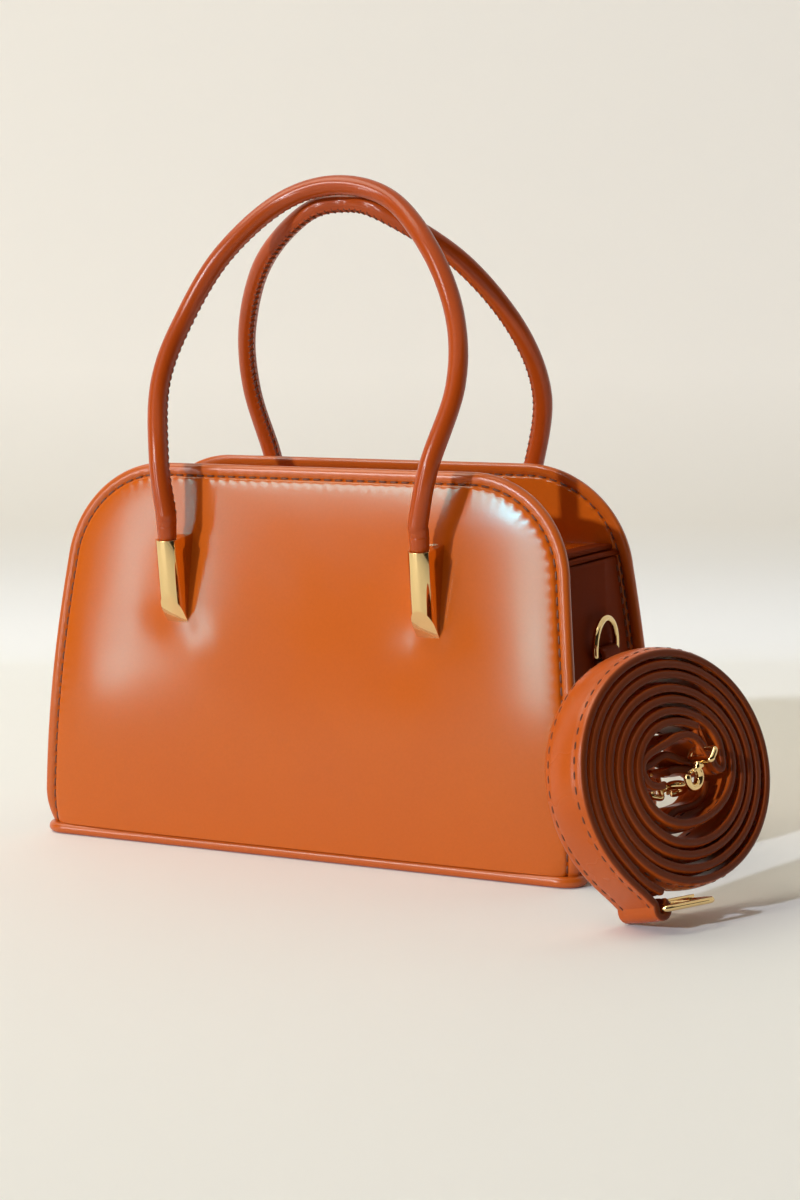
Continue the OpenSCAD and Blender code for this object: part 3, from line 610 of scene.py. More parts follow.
# Body of the bag: the same sizes as the model, and what the leather does on top of them
bag = dict(baseWidth=250, topWidth=225.6, height=160.6, cornerRadius=44.6, sideBulge=1.5, baseDepth=90.6,
           topDepth=59.4, bow=4.9, panelThick=3.2, low=4.7)
lean = math.atan((bag["baseDepth"] - bag["topDepth"]) / 2 / bag["height"])
chord = math.hypot(bag["height"], (bag["baseDepth"] - bag["topDepth"]) / 2)
bowR = chord ** 2 / (8 * bag["bow"]) + bag["bow"] / 2
bowY = (bag["baseDepth"] + bag["topDepth"]) / 4 + (bag["bow"] - bowR) * math.cos(lean)
bowZ = bag["height"] / 2 + (bag["bow"] - bowR) * math.sin(lean)
flare = math.atan((bag["baseWidth"] - bag["topWidth"]) / 2 / bag["height"])
cornerZ = bag["height"] - bag["cornerRadius"]
cornerX = bag["baseWidth"] / 2 - cornerZ * math.tan(flare) - bag["cornerRadius"] / math.cos(flare)


# Half depth of the outer face at a height: part of one large circle, less an inset
def faceY(z, inset=0.0):
    return bowY + np.sqrt((bowR - inset) ** 2 - (z - bowZ) ** 2)


def sideTop(inset):
    return cornerZ + (bag["cornerRadius"] - inset) * math.sin(flare)


# Half width at a height: a straight flare, less an inset, plus a swell of one half sine
def sideX(z, inset=0.0):
    swell = bag["sideBulge"] * np.sin(np.pi * np.minimum(1, z / sideTop(0)))
    return bag["baseWidth"] / 2 - z * math.tan(flare) - inset / math.cos(flare) + swell


# Path round the rim at each inset: up the right side, round the corner, along the top, and mirrored down
rim = dict(sideSteps=170, cornerSteps=104, topSteps=226, pitch=5.0, stitchInset=5.0, thread=(3.5, 0.95),
           sink=0.30)


def rimPath(inset, low):
    inset = np.atleast_1d(np.asarray(inset, float))[:, None]
    t = np.linspace(0, 1, rim["sideSteps"], endpoint=False)[None]
    z1 = low + (sideTop(inset) - low) * t
    x1 = sideX(z1, inset)
    a = flare + (np.pi / 2 - flare) * np.linspace(0, 1, rim["cornerSteps"], endpoint=False)[None]
    x2 = cornerX + (bag["cornerRadius"] - inset) * np.cos(a)
    z2 = cornerZ + (bag["cornerRadius"] - inset) * np.sin(a)
    half = rim["topSteps"] // 2 + 1
    x3 = np.broadcast_to(cornerX * (1 - np.linspace(0, 1, half)[None]), (len(inset), half))
    z3 = np.broadcast_to(cornerZ + bag["cornerRadius"] - inset, x3.shape)
    x = np.concatenate([x1, x2, x3], 1)
    z = np.concatenate([z1, z2, z3], 1)
    return np.concatenate([x, -x[:, -2::-1]], 1), np.concatenate([z, z[:, -2::-1]], 1)


settling = dict(fall=1.5, inward=2.4, back=3.5, fromX=110, overX=14, fromZ=20, overZ=16)


# What the whole body does: the sides fall back a little and the lower corners are drawn in by the piping
def settle(points):
    points = points.copy()
    x, y, z = points[..., 0], points[..., 1], points[..., 2]
    fall = settling["fall"] * clamp(np.abs(x) / sideX(np.clip(z, 0, 160))) ** 5
    pull = clamp((np.abs(x) - settling["fromX"]) / settling["overX"]) ** 2
    pull = pull * clamp((settling["fromZ"] - z) / settling["overZ"]) ** 2
    points[..., 0] = x - np.sign(x) * settling["inward"] * pull
    points[..., 1] = y - np.sign(y) * np.minimum(fall + settling["back"] * pull, np.abs(y))
    return points


lugs = dict(x=58.0, z=111.0, press=0.35, tip=94.5, dent=0.9)
swelling = dict(outer=1.2, inner=0.25, reach=11, soft=0.12, softReach=15, pucker=0.24, seamDip=0.75,
                seamLip=0.42)


# Sum of one bell at each lug: exp(-((x - lug) / wide)^2 - ((z - at) / tall)^2)
def lugBells(x, z, at, wide, tall):
    return sum(np.exp(-((x - s * lugs["x"]) / wide) ** 2 - ((z - at) / tall) ** 2) for s in (-1, 1))


# Swell of the face: low at the seam, full beyond it, pressed in a little round the lugs, dented at their tips
def swell(x, z, q, phase, full):
    inside = np.maximum(q, 0)
    lip = swelling["seamLip"] * (1 - np.exp(-inside / 1.2)) * np.exp(-inside / 5)
    seam = -swelling["seamDip"] * bell(q, 0.5) + lip
    pucker = swelling["pucker"] * np.cos(phase) * np.exp(-np.abs(q) / 1.1)
    rise = full * (1 - np.exp(-inside / swelling["reach"]))
    soft = swelling["soft"] * np.sin(x / 19 + 1.3) * np.sin(z / 15 + x / 40)
    held = 1 - lugs["press"] * clamp(lugBells(x, z, lugs["z"], 15, 21))
    dent = lugs["dent"] * lugBells(x, z, lugs["tip"], 9, 8) * (full > 1)
    return seam - pucker + (rise + soft * (1 - np.exp(-inside / swelling["softReach"]))) * held - dent


# Seam line: the settled rim path at the stitches' inset, with its length and a whole number of stitches
def seamPhase():
    x, z = rimPath(rim["stitchInset"], bag["low"])
    line = settle(np.stack([x[0], faceY(z[0]), z[0]], 1))
    length = alongPath(line)
    count = int(round(length[-1] / rim["pitch"]))
    return length, count


seamLength, seamCount = seamPhase()
seamPhases = 2 * np.pi * seamLength / seamLength[-1] * seamCount


# One side of a panel: rows from the seam inwards, then straight lines to a spine in the middle
def panelRows(depth, direction, full):
    insets = np.array([3.4, 4.2, 4.6, 4.85, 5.0, 5.2, 5.5, 5.9, 6.5, 7.3, 8.4, 10, 12.2, 15])
    x, z = rimPath(insets, bag["low"])
    q = np.broadcast_to((insets - rim["stitchInset"])[:, None], x.shape)
    half = x.shape[1] // 2
    way = np.abs(np.arange(x.shape[1]) - half) / half
    spineZ = bag["low"] + 92 * clamp((1 - way) / 0.62)
    w = np.linspace(0, 1, 15)[1:, None]
    x = np.concatenate([x, x[-1:] * (1 - w)])
    z = np.concatenate([z, z[-1:] * (1 - w) + spineZ[None] * w])
    q = np.concatenate([q, q[-1:] + 60 * w * np.ones_like(q[:1])])
    high = swell(x, z, q, seamPhases[None], full)
    return np.stack([x, faceY(z, depth) + direction * high, z], -1)


# Panel: outer and inner face as one grid, closed by strips of quads along both lower ends
def panelShape():
    outer, inner = panelRows(0, 1, swelling["outer"]), panelRows(bag["panelThick"], -1, swelling["inner"])
    rows, cols = outer.shape[:2]
    shape = gridShape(np.concatenate([outer[::-1], inner]))
    k = np.arange(rows - 1)
    ends = []
    for col in (0, cols - 1):
        out = (rows - 1 - k) * cols + col
        out2 = (rows - 2 - k) * cols + col
        inn = (rows + k) * cols + col
        inn2 = (rows + k + 1) * cols + col
        ends.append(np.stack([out, out2, inn2, inn], 1))
    return settle(shape[0]), np.concatenate([shape[1]] + ends), shape[2]


# Folded rim: a flattened round profile, from the edge to the seam, with the seam's puckers on its inner side
def rimBandShape():
    a = np.linspace(0, 2 * np.pi, 26, endpoint=False)
    c, s = np.cos(a), np.sin(a)
    power = 0.78
    inset = 2.45 - 2.45 * np.sign(c) * np.abs(c) ** power
    depth = bag["panelThick"] / 2 - 2.0 * np.sign(s) * np.abs(s) ** power
    x, z = rimPath(inset, bag["low"] - 1.2)
    near = clamp((inset - 3.2) / 1.7)[:, None]
    dip = near * 0.22 * (1 + np.cos(seamPhases))[None] * np.sign(s)[:, None]
    points = np.stack([x, faceY(z, depth[:, None]) - dip, z], -1)
    return gridShape(settle(points.transpose(1, 0, 2)), wrapCols=True, caps=True)


# Stitches at even lengths of the seam line, half a pitch off its puckers, sunk into the leather
def seamStitches(depth, direction):
    at = (np.arange(seamCount) + 0.5) / seamCount * seamLength[-1]
    x, z = rimPath(rim["stitchInset"] - 0.05, bag["low"])
    line = settle(np.stack([x[0], faceY(z[0], depth) - direction * rim["sink"], z[0]], 1))
    centres = sampled(at, seamLength, line)
    along = sampled(at, seamLength, heading(line))
    return stitches(centres, along, every((0, direction, 0.05), centres), *rim["thread"])


for label in ("front", "back"):
    addSet(label, [
        ("PanelSkin", panelShape(), "cognac", "bag", "cognac_leather", "_panel"),
        ("RimBand", rimBandShape(), "piping", "bag", "cognac_leather", "_edge_bead"),
        ("SeamOutside", seamStitches(0, 1), "thread", "bag", "cognac_leather", ""),
        ("SeamInside", seamStitches(bag["panelThick"], -1), "thread", "bag", "cognac_leather", "")])
print("panels made")

# Piping and base
piping = dict(radius=2.3, y=44.15, halfLength=122.7, corner=7.0)


# Piping: a tube along the base edge that turns round the corner and ends in a pinched tip
def pipingShape():
    reach = piping["halfLength"]
    a = np.linspace(0, np.pi / 2, 12)
    r = piping["corner"]
    x, y = reach + 0.4 - r + r * np.sin(a), piping["y"] - r + r * np.cos(a)
    right = np.stack([x, y, np.full(12, piping["radius"])], 1)
    tail = np.array([[reach + 0.3, piping["y"] - r - 1.5, piping["radius"] + 0.3],
                     [reach - 0.6, piping["y"] - r - 4.5, piping["radius"] + 1.4]])
    right = np.concatenate([right, tail])
    left = right[::-1] * np.array([-1, 1, 1])
    path = softened(evenly(np.concatenate([left, right]), 1.0), 1.2)
    s = alongPath(path)
    ends = np.minimum(s, s[-1] - s)
    radius = piping["radius"] * (0.55 + 0.45 * clamp(ends / 4) ** 0.5) * (1 + 0.012 * np.sin(s / 7.3))
    path[:, 2] = np.maximum(path[:, 2], radius)
    return tube(path, radius, (0, 0, 1), 18)


for label in ("front", "back"):
    addSet(label, [("PipingSkin", pipingShape(), "piping", "bag", "cognac_leather", "_base_piping")])


# Base leather: rows of a rounded oblong from the middle of the top face, over the edge, to the middle below
def roundedOblong(halfX, halfY, radius, steps=10):
    a = np.linspace(0, np.pi / 2, steps)
    one = np.stack([halfX - radius + radius * np.cos(a), halfY - radius + radius * np.sin(a)], 1)
    return np.concatenate([one, one[::-1] * [-1, 1], one * -1, one[::-1] * [1, -1]])


def plateShape(halfX, halfY, corner, low, high, edge):
    ring = roundedOblong(halfX, halfY, corner)
    steps = [1 - k / 6 for k in range(6, 0, -1)]
    rows = [(s, high) for s in steps] + [(1, high)]
    rows = [(s * (1 - edge / halfY), h) for s, h in rows]
    a = np.linspace(np.pi / 2, -np.pi / 2, 7)
    t = (high - low) / 2
    rows += [(1 - edge / halfY * (1 - math.cos(b)), (high + low) / 2 + t * math.sin(b)) for b in a]
    rows += [(s * (1 - edge / halfY), low) for s in steps[::-1]]
    grid = np.stack([np.concatenate([ring * s, np.full((len(ring), 1), h)], 1) for s, h in rows])
    return gridShape(grid, wrapCols=True, caps=True)


base = dict(halfX=122.6, halfY=41.6, corner=7.2, low=0.0, high=2.4, edge=1.0)
addPiece("baseSkin", plateShape(**base), materials["inner"], "bag", ["base_panel"])
print("base made")

# Sides: gusset, zip ends, ring tabs
gusset = dict(inset=5.5, thick=2.4, top=123.5, low=2.4, seam=5.2, ridge=9.0, lift=1.2, moreLift=2.2,
              drawIn=0.6, seamPitch=4.6, thread=(3.0, 0.9))


# Gusset: across from panel to panel, with a recess at each seam and a soft ridge that runs down its middle
def gussetShape():
    u = np.linspace(-1, 1, 61)
    top = gusset["top"]
    zz = np.concatenate([np.linspace(gusset["low"], top - 1.2, 44), [top - 0.5, top]])[:, None]
    half = faceY(zz, bag["panelThick"] + 0.1)
    y = u[None] * half
    q = half - np.abs(y)
    ridge = gusset["ridge"]
    reach = np.where(y > ridge, half - ridge, half + ridge)
    slope = clamp(1 - np.abs(y - ridge) / reach)
    lift = (gusset["lift"] + gusset["moreLift"] * zz / gusset["top"]) * slope ** 1.15
    behindRing = np.exp(-(y / 15) ** 2 - ((zz - 97) / 17) ** 2)
    lift = lift * (1 - gusset["drawIn"] * behindRing)
    crease = -0.45 * bell(q - gusset["seam"], 0.7) - 1.1 * bell(q, 1.6)
    end = clamp((zz - gusset["top"] + 1.2) / 1.2) ** 2
    outer = np.stack([sideX(zz, gusset["inset"]) + lift + crease - 0.8 * end, y, zz * np.ones_like(y)], -1)
    behind = sideX(zz, gusset["inset"] + gusset["thick"])
    inner = np.stack([behind + 0.6 * end + 0 * y, y, zz * np.ones_like(y)], -1)
    ring = np.concatenate([outer, inner[:, ::-1]], 1)
    return gridShape(ring, wrapCols=True, caps=True)


# Stitches beside both panels: y = face less the seam's width, x = side plus the crease's depth
def gussetSeam():
    shapes = []
    for s in (-1, 1):
        z = np.arange(8, gusset["top"] - 4, gusset["seamPitch"])
        y = s * (faceY(z, bag["panelThick"]) - gusset["seam"])
        x = sideX(z, gusset["inset"]) + 0.55
        line = np.stack([x, y, z], 1)
        shapes.append(stitches(line, heading(line), every((1, 0, 0), line), *gusset["thread"]))
    return joined(shapes)


# Zip end: two folded layers laid over the top of the gusset, each a rounded bar carried along Y
def zipEndShape():
    shapes = []
    for base, thick, out, drop in ((123.75, 2.1, 0.6, 0.0), (126.15, 2.3, -1.2, 2.5)):
        wide = sideX(base, gusset["inset"]) + out - 100.8
        half = faceY(base, bag["panelThick"] + 0.3) - drop
        y = np.linspace(-half, half, 40)
        bend = 0.5 * np.sin(np.pi * (y / half + 1) / 2)
        path = np.stack([100.8 + wide / 2 + 0.4 * np.cos(y / 11), y, base + thick / 2 + bend - 0.25], 1)
        profile = roundedBar(wide, thick, thick * 0.42, 4, 5, 2)
        shapes.append(sweep(path, every((1, 0, 0), path), every((0, 0, 1), path), profile))
    return joined(shapes)


ring = dict(x=117.604, z=87.0, inner=20.0, wire=2.8, rise=3.0)
tab = dict(width=17.0, thick=1.6, length=34.0, seamPitch=3.6, seamIn=2.4, thread=(2.5, 0.8))


# Ring tab: one strap of leather up the gusset, round the ring's bar and down again outside
def ringTabShape():
    low = ring["z"] - tab["length"]
    turn = ring["wire"] / 2 + 0.3 + tab["thick"] / 2
    a = np.linspace(np.pi * 0.98, -0.05, 18)
    arc = np.stack([ring["x"] + turn * np.cos(a), ring["z"] + turn * np.sin(a)], 1)
    face = sideX(low, gusset["inset"])
    up = np.array([[face + 1.6, low], [sideX(ring["z"] - 20, gusset["inset"]) + 2.2, ring["z"] - 20],
                   [ring["x"] - turn + 0.2, ring["z"] - 5]])
    down = np.array([[ring["x"] + turn - 0.3, ring["z"] - 5],
                     [sideX(ring["z"] - 13, gusset["inset"]) + 4.4, ring["z"] - 13], [face + 3.4, low + 1.5]])
    flat = softened(evenly(np.concatenate([up, arc, down]), 0.6), 1.6)
    path = np.stack([flat[:, 0], np.zeros(len(flat)), flat[:, 1]], 1)
    way = heading(path)
    side = every((0, 1, 0), path)
    return sweep(path, side, np.cross(way, side), roundedBar(tab["width"], tab["thick"], 0.6, 3, 8, 1))


# Stitches down both edges of the tab, evenly spaced in height
def ringTabSeam():
    shapes = []
    for s in (-1, 1):
        z = np.arange(ring["z"] - tab["length"] + 3, ring["z"] - 8, tab["seamPitch"])
        face = [sideX(53, gusset["inset"]) + 4.3, sideX(74, gusset["inset"]) + 5.3, ring["x"] + 2.9]
        y = np.full(len(z), s * (tab["width"] / 2 - tab["seamIn"]))
        line = np.stack([np.interp(z, [53, 74, 82], face), y, z], 1)
        shapes.append(stitches(line, heading(line), every((1, 0, 0), line), *tab["thread"]))
    return joined(shapes)


# Ring: a bar, two legs and a half circle as one closed tube with eased corners
def ringShape():
    r = ring["inner"] / 2 + ring["wire"] / 2
    a = np.linspace(0, np.pi, 60)
    arc = np.stack([r * np.cos(a), ring["rise"] + r * np.sin(a)], 1)
    flat = np.concatenate([arc, np.array([[-r, 0], [r, 0]])])
    flat = softened(evenly(flat, 0.5, True), 2.0, True)
    path = np.stack([np.full(len(flat), ring["x"]), flat[:, 0], flat[:, 1] + ring["z"]], 1)
    return tube(path, ring["wire"] / 2, (1, 0, 0), 18, True)


# Gusset, zip ends and ring tabs take the inner look, painted darker as painted shade
for label in ("left", "right"):
    addSet(label, [
        ("GussetSkin", gussetShape(), "inner", "bag", "edge_leather", "_gusset"),
        ("GussetSeam", gussetSeam(), "thread", "bag", "edge_leather", ""),
        ("ZipEndFolds", zipEndShape(), "inner", "bag", "edge_leather", "_zip_end"),
        ("TabSkin", ringTabShape(), "inner", "bag", "edge_leather", "_ring_tab"),
        ("TabSeam", ringTabSeam(), "thread", "bag", "edge_leather", ""),
        ("RingWire", ringShape(), "gold", label + "_side_ring", "gold_metal", "_ring")])
print("sides made")

# Zip panel and lining
zipSizes = dict(top=127.4, flapThick=1.4, tapeThick=0.7, gap=16.0, over=3.0, hinge=31.5352, half=100.2,
                tapeIn=1.9, seamPitch=4.6, seamIn=2.2, thread=(3.2, 0.8))


# Flap: a flat bar with rounded edges from the seam to the tape, with a faint wave along it
def flapShape():
    x = np.linspace(-zipSizes["half"], zipSizes["half"], 90)
    inner, outer = zipSizes["gap"] / 2, zipSizes["hinge"] + zipSizes["flapThick"] / 2
    z = zipSizes["top"] - 0.7 + 0.08 * np.sin(x / 13)
    path = np.stack([x, np.full(len(x), (inner + outer) / 2), z], 1)
    profile = roundedBar(outer - inner, zipSizes["flapThick"], 0.62, 4, 14, 1)
    dip = -0.25 * bell(profile[:, 0] + (outer - inner) / 2 - zipSizes["seamIn"], 0.6) * (profile[:, 1] > 0)
    profile = profile + np.stack([0 * dip, dip], 1)
    return sweep(path, every((0, 1, 0), path), every((0, 0, 1), path), profile)


# Stitches along the flap's inner edge, evenly spaced
def flapSeam():
    x = np.arange(-zipSizes["half"] + 4, zipSizes["half"] - 4, zipSizes["seamPitch"])
    y, z = zipSizes["gap"] / 2 + zipSizes["seamIn"], zipSizes["top"] - 0.05
    line = np.stack([x, np.full(len(x), y), np.full(len(x), z)], 1)
    return stitches(line, heading(line), every((0, 0, 1), line), *zipSizes["thread"])


# Tape: a flat bar under the flap, from the teeth to its overlap with the flap
def tapeShape():
    x = np.linspace(-zipSizes["half"], zipSizes["half"], 120)
    inner, outer = zipSizes["tapeIn"], zipSizes["gap"] / 2 + zipSizes["over"]
    z = zipSizes["top"] - zipSizes["flapThick"] - zipSizes["tapeThick"] / 2
    path = np.stack([x, np.full(len(x), (inner + outer) / 2), np.full(len(x), z)], 1)
    profile = roundedBar(outer - inner, zipSizes["tapeThick"] - 0.04, 0.25, 2, 6, 1)
    return sweep(path, every((0, 1, 0), path), every((0, 0, 1), path), profile)


for label in ("front", "back"):
    addSet(label, [
        ("FlapSkin", flapShape(), "cognac", label + "_flap", "cognac_leather", "_zip_flap"),
        ("FlapSeam", flapSeam(), "thread", label + "_flap", "cognac_leather", ""),
        ("TapeCloth", tapeShape(), "tape", label + "_flap", "zip_cloth", "_zip_tape")])

lining = dict(inset=8.5, depth=6.7, low=3.7, top=122.1, thick=0.8)


# Lining: rings of a rounded oblong that follows the walls, with soft folds that run down from the top
def liningWall(grow, low):
    z = np.linspace(low, lining["top"], 26)
    a = np.linspace(0, 2 * np.pi, 200, endpoint=False)
    c, s = np.cos(a), np.sin(a)
    rows = []
    for h in z:
        hx, hy = sideX(h, lining["inset"] + grow), faceY(h, lining["depth"] + grow)
        fold = 0.35 * np.sin(9 * a + h / 25) * (h / lining["top"])
        x = np.sign(c) * np.abs(c) ** 0.12 * (hx - np.abs(fold))
        y = np.sign(s) * np.abs(s) ** 0.12 * (hy - 0.4 - np.abs(fold))
        rows.append(np.stack([x, y, np.full(len(a), h)], 1))
    return np.stack(rows)


def liningShape():
    outer = liningWall(0, lining["low"])
    inner = liningWall(lining["thick"], lining["low"] + lining["thick"])
    return gridShape(np.concatenate([outer, inner[::-1]]), wrapCols=True, caps=True)


addPiece("liningBag", liningShape(), materials["lining"], "bag", ["lining"])
print("zip panel and lining made")

# Handles
handle = dict(radius=4.0, hingeZ=132.0, lugX=58.0, lugY=48.5, lugLean=7.0, neck=3.9, seamPitch=3.3,
              seamTurn=118.0, thread=(3.3, 0.75))
handleShares = dict(
    front=(143.7, [(0.22, 1.067, 0.998), (0.437, 1.171, 0.753), (0.629, 1.072, 0.511), (0.812, 0.819, 0.346),
                   (0.955, 0.436, 0.163), (1, 0, 0.124)]),
    back=(136.8, [(0.208, 1.109, 1.076), (0.418, 1.214, 0.936), (0.621, 1.114, 0.654), (0.823, 0.802, 0.299),
                  (0.966, 0.329, 0.02), (1, 0, 0.052)]))


# Handle path: straight out of the lug, then a curve through shares of rise, width and depth, mirrored
def handlePath(rise, shares):
    ball = np.array([handle["lugX"], handle["lugY"], handle["hingeZ"]])
    tilt = math.radians(handle["lugLean"])
    start = ball + handle["neck"] * np.array([0, math.sin(tilt), math.cos(tilt)])
    arch = [(b * handle["lugX"], c * handle["lugY"], handle["hingeZ"] + a * rise) for a, b, c in shares]
    straight = start + 6.0 * np.array([0, math.sin(tilt), math.cos(tilt)])
    half = np.array([ball, start, (start + straight) / 2, straight] + arch)
    path = curveThrough(np.concatenate([half, half[-2::-1] * [-1, 1, 1]]), 24)
    return evenly(path, 0.55)


# Tube with a sewn ridge on the inside of the arch: radius = r + ridge(angle) * beat(length)
def handleShape(path):
    way = heading(path)
    side = besides(way, (0, 1, 0))
    up = np.cross(way, side)
    s = alongPath(path)
    a = np.linspace(0, 2 * np.pi, 44, endpoint=False)
    off = np.degrees(np.angle(np.exp(1j * (a - math.radians(handle["seamTurn"])))))
    beat = 0.5 + 0.5 * np.cos(2 * np.pi * s / handle["seamPitch"])[:, None]
    ridge = 0.42 * bell(np.abs(off) - 12, 8)[None] * (0.55 + 0.45 * beat)
    groove = -0.45 * bell(off, 5)[None]
    hole = -0.35 * bell(np.abs(off) - 24, 5)[None] * beat ** 3
    flex = 0.05 * np.sin(s / 17)[:, None] + 0.04 * np.sin(s / 5.3 + 1)[:, None] * np.sin(a * 2)[None]
    ends = -0.12 * bell(np.minimum(s, s[-1] - s), 0.6)[:, None]
    r = handle["radius"] + ridge + groove + hole + flex + ends
    profile = np.stack([r * np.cos(a), r * np.sin(a)], -1)
    return sweep(path, side, up, profile), (side, up, way, s)


# Overcast thread: short slanted stitches that cross the ridge from hole to hole
def handleStitches(path, axes):
    side, up, way, s = axes
    at = np.arange(3, s[-1] - 3, handle["seamPitch"])
    side, up, way = (unit(sampled(at, s, v)) for v in (side, up, way))
    turn = math.radians(handle["seamTurn"])
    out = math.cos(turn) * side + math.sin(turn) * up
    across = -math.sin(turn) * side + math.cos(turn) * up
    centre = sampled(at, s, path) + out * (handle["radius"] + 0.18)
    return stitches(centre, across + 0.5 * way, out, *handle["thread"])


# Root of a leg: a turned profile about the lug's axis, from the ball to the tube
def rootShape():
    along = np.array([-3.4, -2.8, -1.8, -0.6, 0.8, 1.9, 2.25, 2.5, 3.0, 3.5, 3.85, 4.1, 4.3])
    radius = np.array([1.6, 2.7, 3.45, 3.85, 3.9, 3.92, 3.95, 4.0, 4.04, 4.05, 4.03, 3.9, 3.0])
    a = np.linspace(0, 2 * np.pi, 32, endpoint=False)
    x = radius[:, None] * np.cos(a)[None]
    y = radius[:, None] * np.sin(a)[None]
    tilt = math.radians(handle["lugLean"])
    c, s = math.cos(tilt), math.sin(tilt)
    z = along[:, None] * np.ones_like(x)
    points = np.stack([x, y * c + z * s, -y * s + z * c], -1)
    points = points + [handle["lugX"], handle["lugY"], handle["hingeZ"]]
    return gridShape(points, wrapCols=True, caps=True)


for label in ("front", "back"):
    path = handlePath(*handleShares[label])
    skin, axes = handleShape(path)
    roots = joined([rootShape(), mirrored(rootShape(), 0)])
    addSet(label, [
        ("HandleTube", skin, "handle", label + "_handle", "cognac_leather", "_handle_skin"),
        ("HandleSeam", handleStitches(path, axes), "thread", label + "_handle", "cognac_leather", ""),
        ("HandleRoots", roots, "handle", label + "_handle", "edge_leather", "_handle_roots")])
print("handles made")

# Rolled strap, in the frame of its face: X across, Y up, Z out of it, the strap from 0 back to its width
strap = dict(width=21.4, thick=2.8, rollRadius=48.7, pitch=8.3, cup=2.0, crown=0.2, place=(175.4, -72.1),
             yaw=62.9, lean=14.7, drop=3.7, wire=2.6, seamIn=3.3, seamPitch=5.2,
             push=2.8, pushAt=975, pushOver=55, thread=(3.2, 0.85))
tilt, yaw = math.radians(90 - strap["lean"]), math.radians(strap["yaw"])
rollLean = math.radians(strap["lean"])
rollZ = strap["width"] * math.sin(rollLean) + (strap["rollRadius"] + strap["drop"]) * math.cos(rollLean)
rollTurn = np.array(Matrix.Rotation(yaw, 3, "Z") @ Matrix.Rotation(tilt, 3, "X"))
rollOrigin = np.array([*strap["place"], rollZ])
barRadius = strap["wire"] / 2
foldRadius = barRadius + 0.3 + strap["thick"] / 2
foldX = -0.38 * strap["rollRadius"]
foldY = -strap["rollRadius"] - strap["drop"] + foldRadius + strap["thick"] / 2


def inRoll(points):
    return points @ rollTurn.T + rollOrigin


def rollShape(shape):
    return inRoll(shape[0]), shape[1], shape[2]


# Double spiral with a drifting centre: depth into the roll = pitch * (turns + half a turn for the second
# strand), more above and below than at the sides; radius = R - t/2 - depth, the last lower turn pushed inward
def winding(start, stop, strand):
    phi = np.arange(start, stop, 2.0)
    big = strap["rollRadius"]
    a = np.radians(193 - phi)
    depth = strap["pitch"] * (phi / 360 + strand / 2) * (1 + 0.1 * np.sin(a) ** 2)
    push = strap["push"] * bell(phi - strap["pushAt"], strap["pushOver"])
    push = push + 0.35 * np.sin(phi / 41 + 2 * strand)
    r = big - strap["thick"] / 2 - depth - push * clamp(phi / 200)
    x = big * (0.03 + 0.024 * phi / 1000) + r * np.cos(a)
    y = big * (-0.014 + 0.032 * phi / 1000) + r * np.sin(a)
    return np.stack([x, y], 1)


# Outer and inner strand, and a leaf and a tuck in the hollow: curves through shares of the roll's radius
def strandPaths():
    big = strap["rollRadius"]
    a = np.radians(np.linspace(330, 48, 40) - 270)
    fold = np.stack([foldX + foldRadius * np.cos(a), foldY + foldRadius * np.sin(a)], 1)
    outer = evenly(np.concatenate([fold, [[-0.66 * big, -0.72 * big]], winding(-20, 1221, 0)]), 0.5)
    s = alongPath(outer)
    gentle, tight = softened(outer, 7), softened(outer, 1.2)
    w = clamp((s - 11) / 9)[:, None]
    outer = tight * (1 - w) + gentle * w
    tip = big * np.array([[-0.35, -0.86], [-0.52, -0.76]])
    ends = big * np.array([
        [0.475, -0.02], [0.438, -0.045], [0.40, -0.02], [0.365, 0.05], [0.29, 0.175], [0.234, 0.24],
        [0.155, 0.272], [0.055, 0.264], [-0.037, 0.232], [-0.147, 0.198], [-0.255, 0.165], [-0.322, 0.126],
        [-0.349, 0.08], [-0.345, 0.003], [-0.302, -0.06], [-0.226, -0.089], [-0.164, -0.085]])
    inner = evenly(np.concatenate([tip, winding(-16, 893, 1), ends]), 0.5)
    s = alongPath(inner)
    w = clamp((s[-1] - s - 62) / 10)[:, None]
    inner = softened(inner, 7) * w + softened(inner, 2.2) * (1 - w)
    leaf = curveThrough(big * np.array([
        [-0.3, 0.03], [-0.233, 0.067], [-0.144, 0.095], [-0.052, 0.131], [0.012, 0.139], [0.1, 0.106],
        [0.176, 0.076], [0.228, 0.072], [0.258, 0.045], [0.258, 0.012], [0.220, -0.003], [0.134, 0.012],
        [0.048, 0.018], [0.0, 0.008], [-0.05, -0.01]]), 12)
    tuck = curveThrough(big * np.array([
        [-0.25, -0.37], [-0.18, -0.385], [-0.11, -0.37], [-0.03, -0.325], [0.05, -0.287], [0.16, -0.28],
        [0.28, -0.255], [0.365, -0.19], [0.405, -0.10], [0.42, -0.01]]), 12)
    return outer, inner, softened(evenly(leaf, 0.4), 1.6), softened(evenly(tuck, 0.4), 1.6)


# Strap: a flat bar with rounded edges and a pressed line under each row of stitches, cupped across by
# cup * (1 - (y / half) ** 2) where it is wound; cupped gives the share of the cup along the strap
def cupShare(flat, before, after):
    s = alongPath(flat)
    rise = clamp((s - before) / 25) * clamp((s[-1] - s - after) / 25)
    return rise * rise * (3 - 2 * rise)


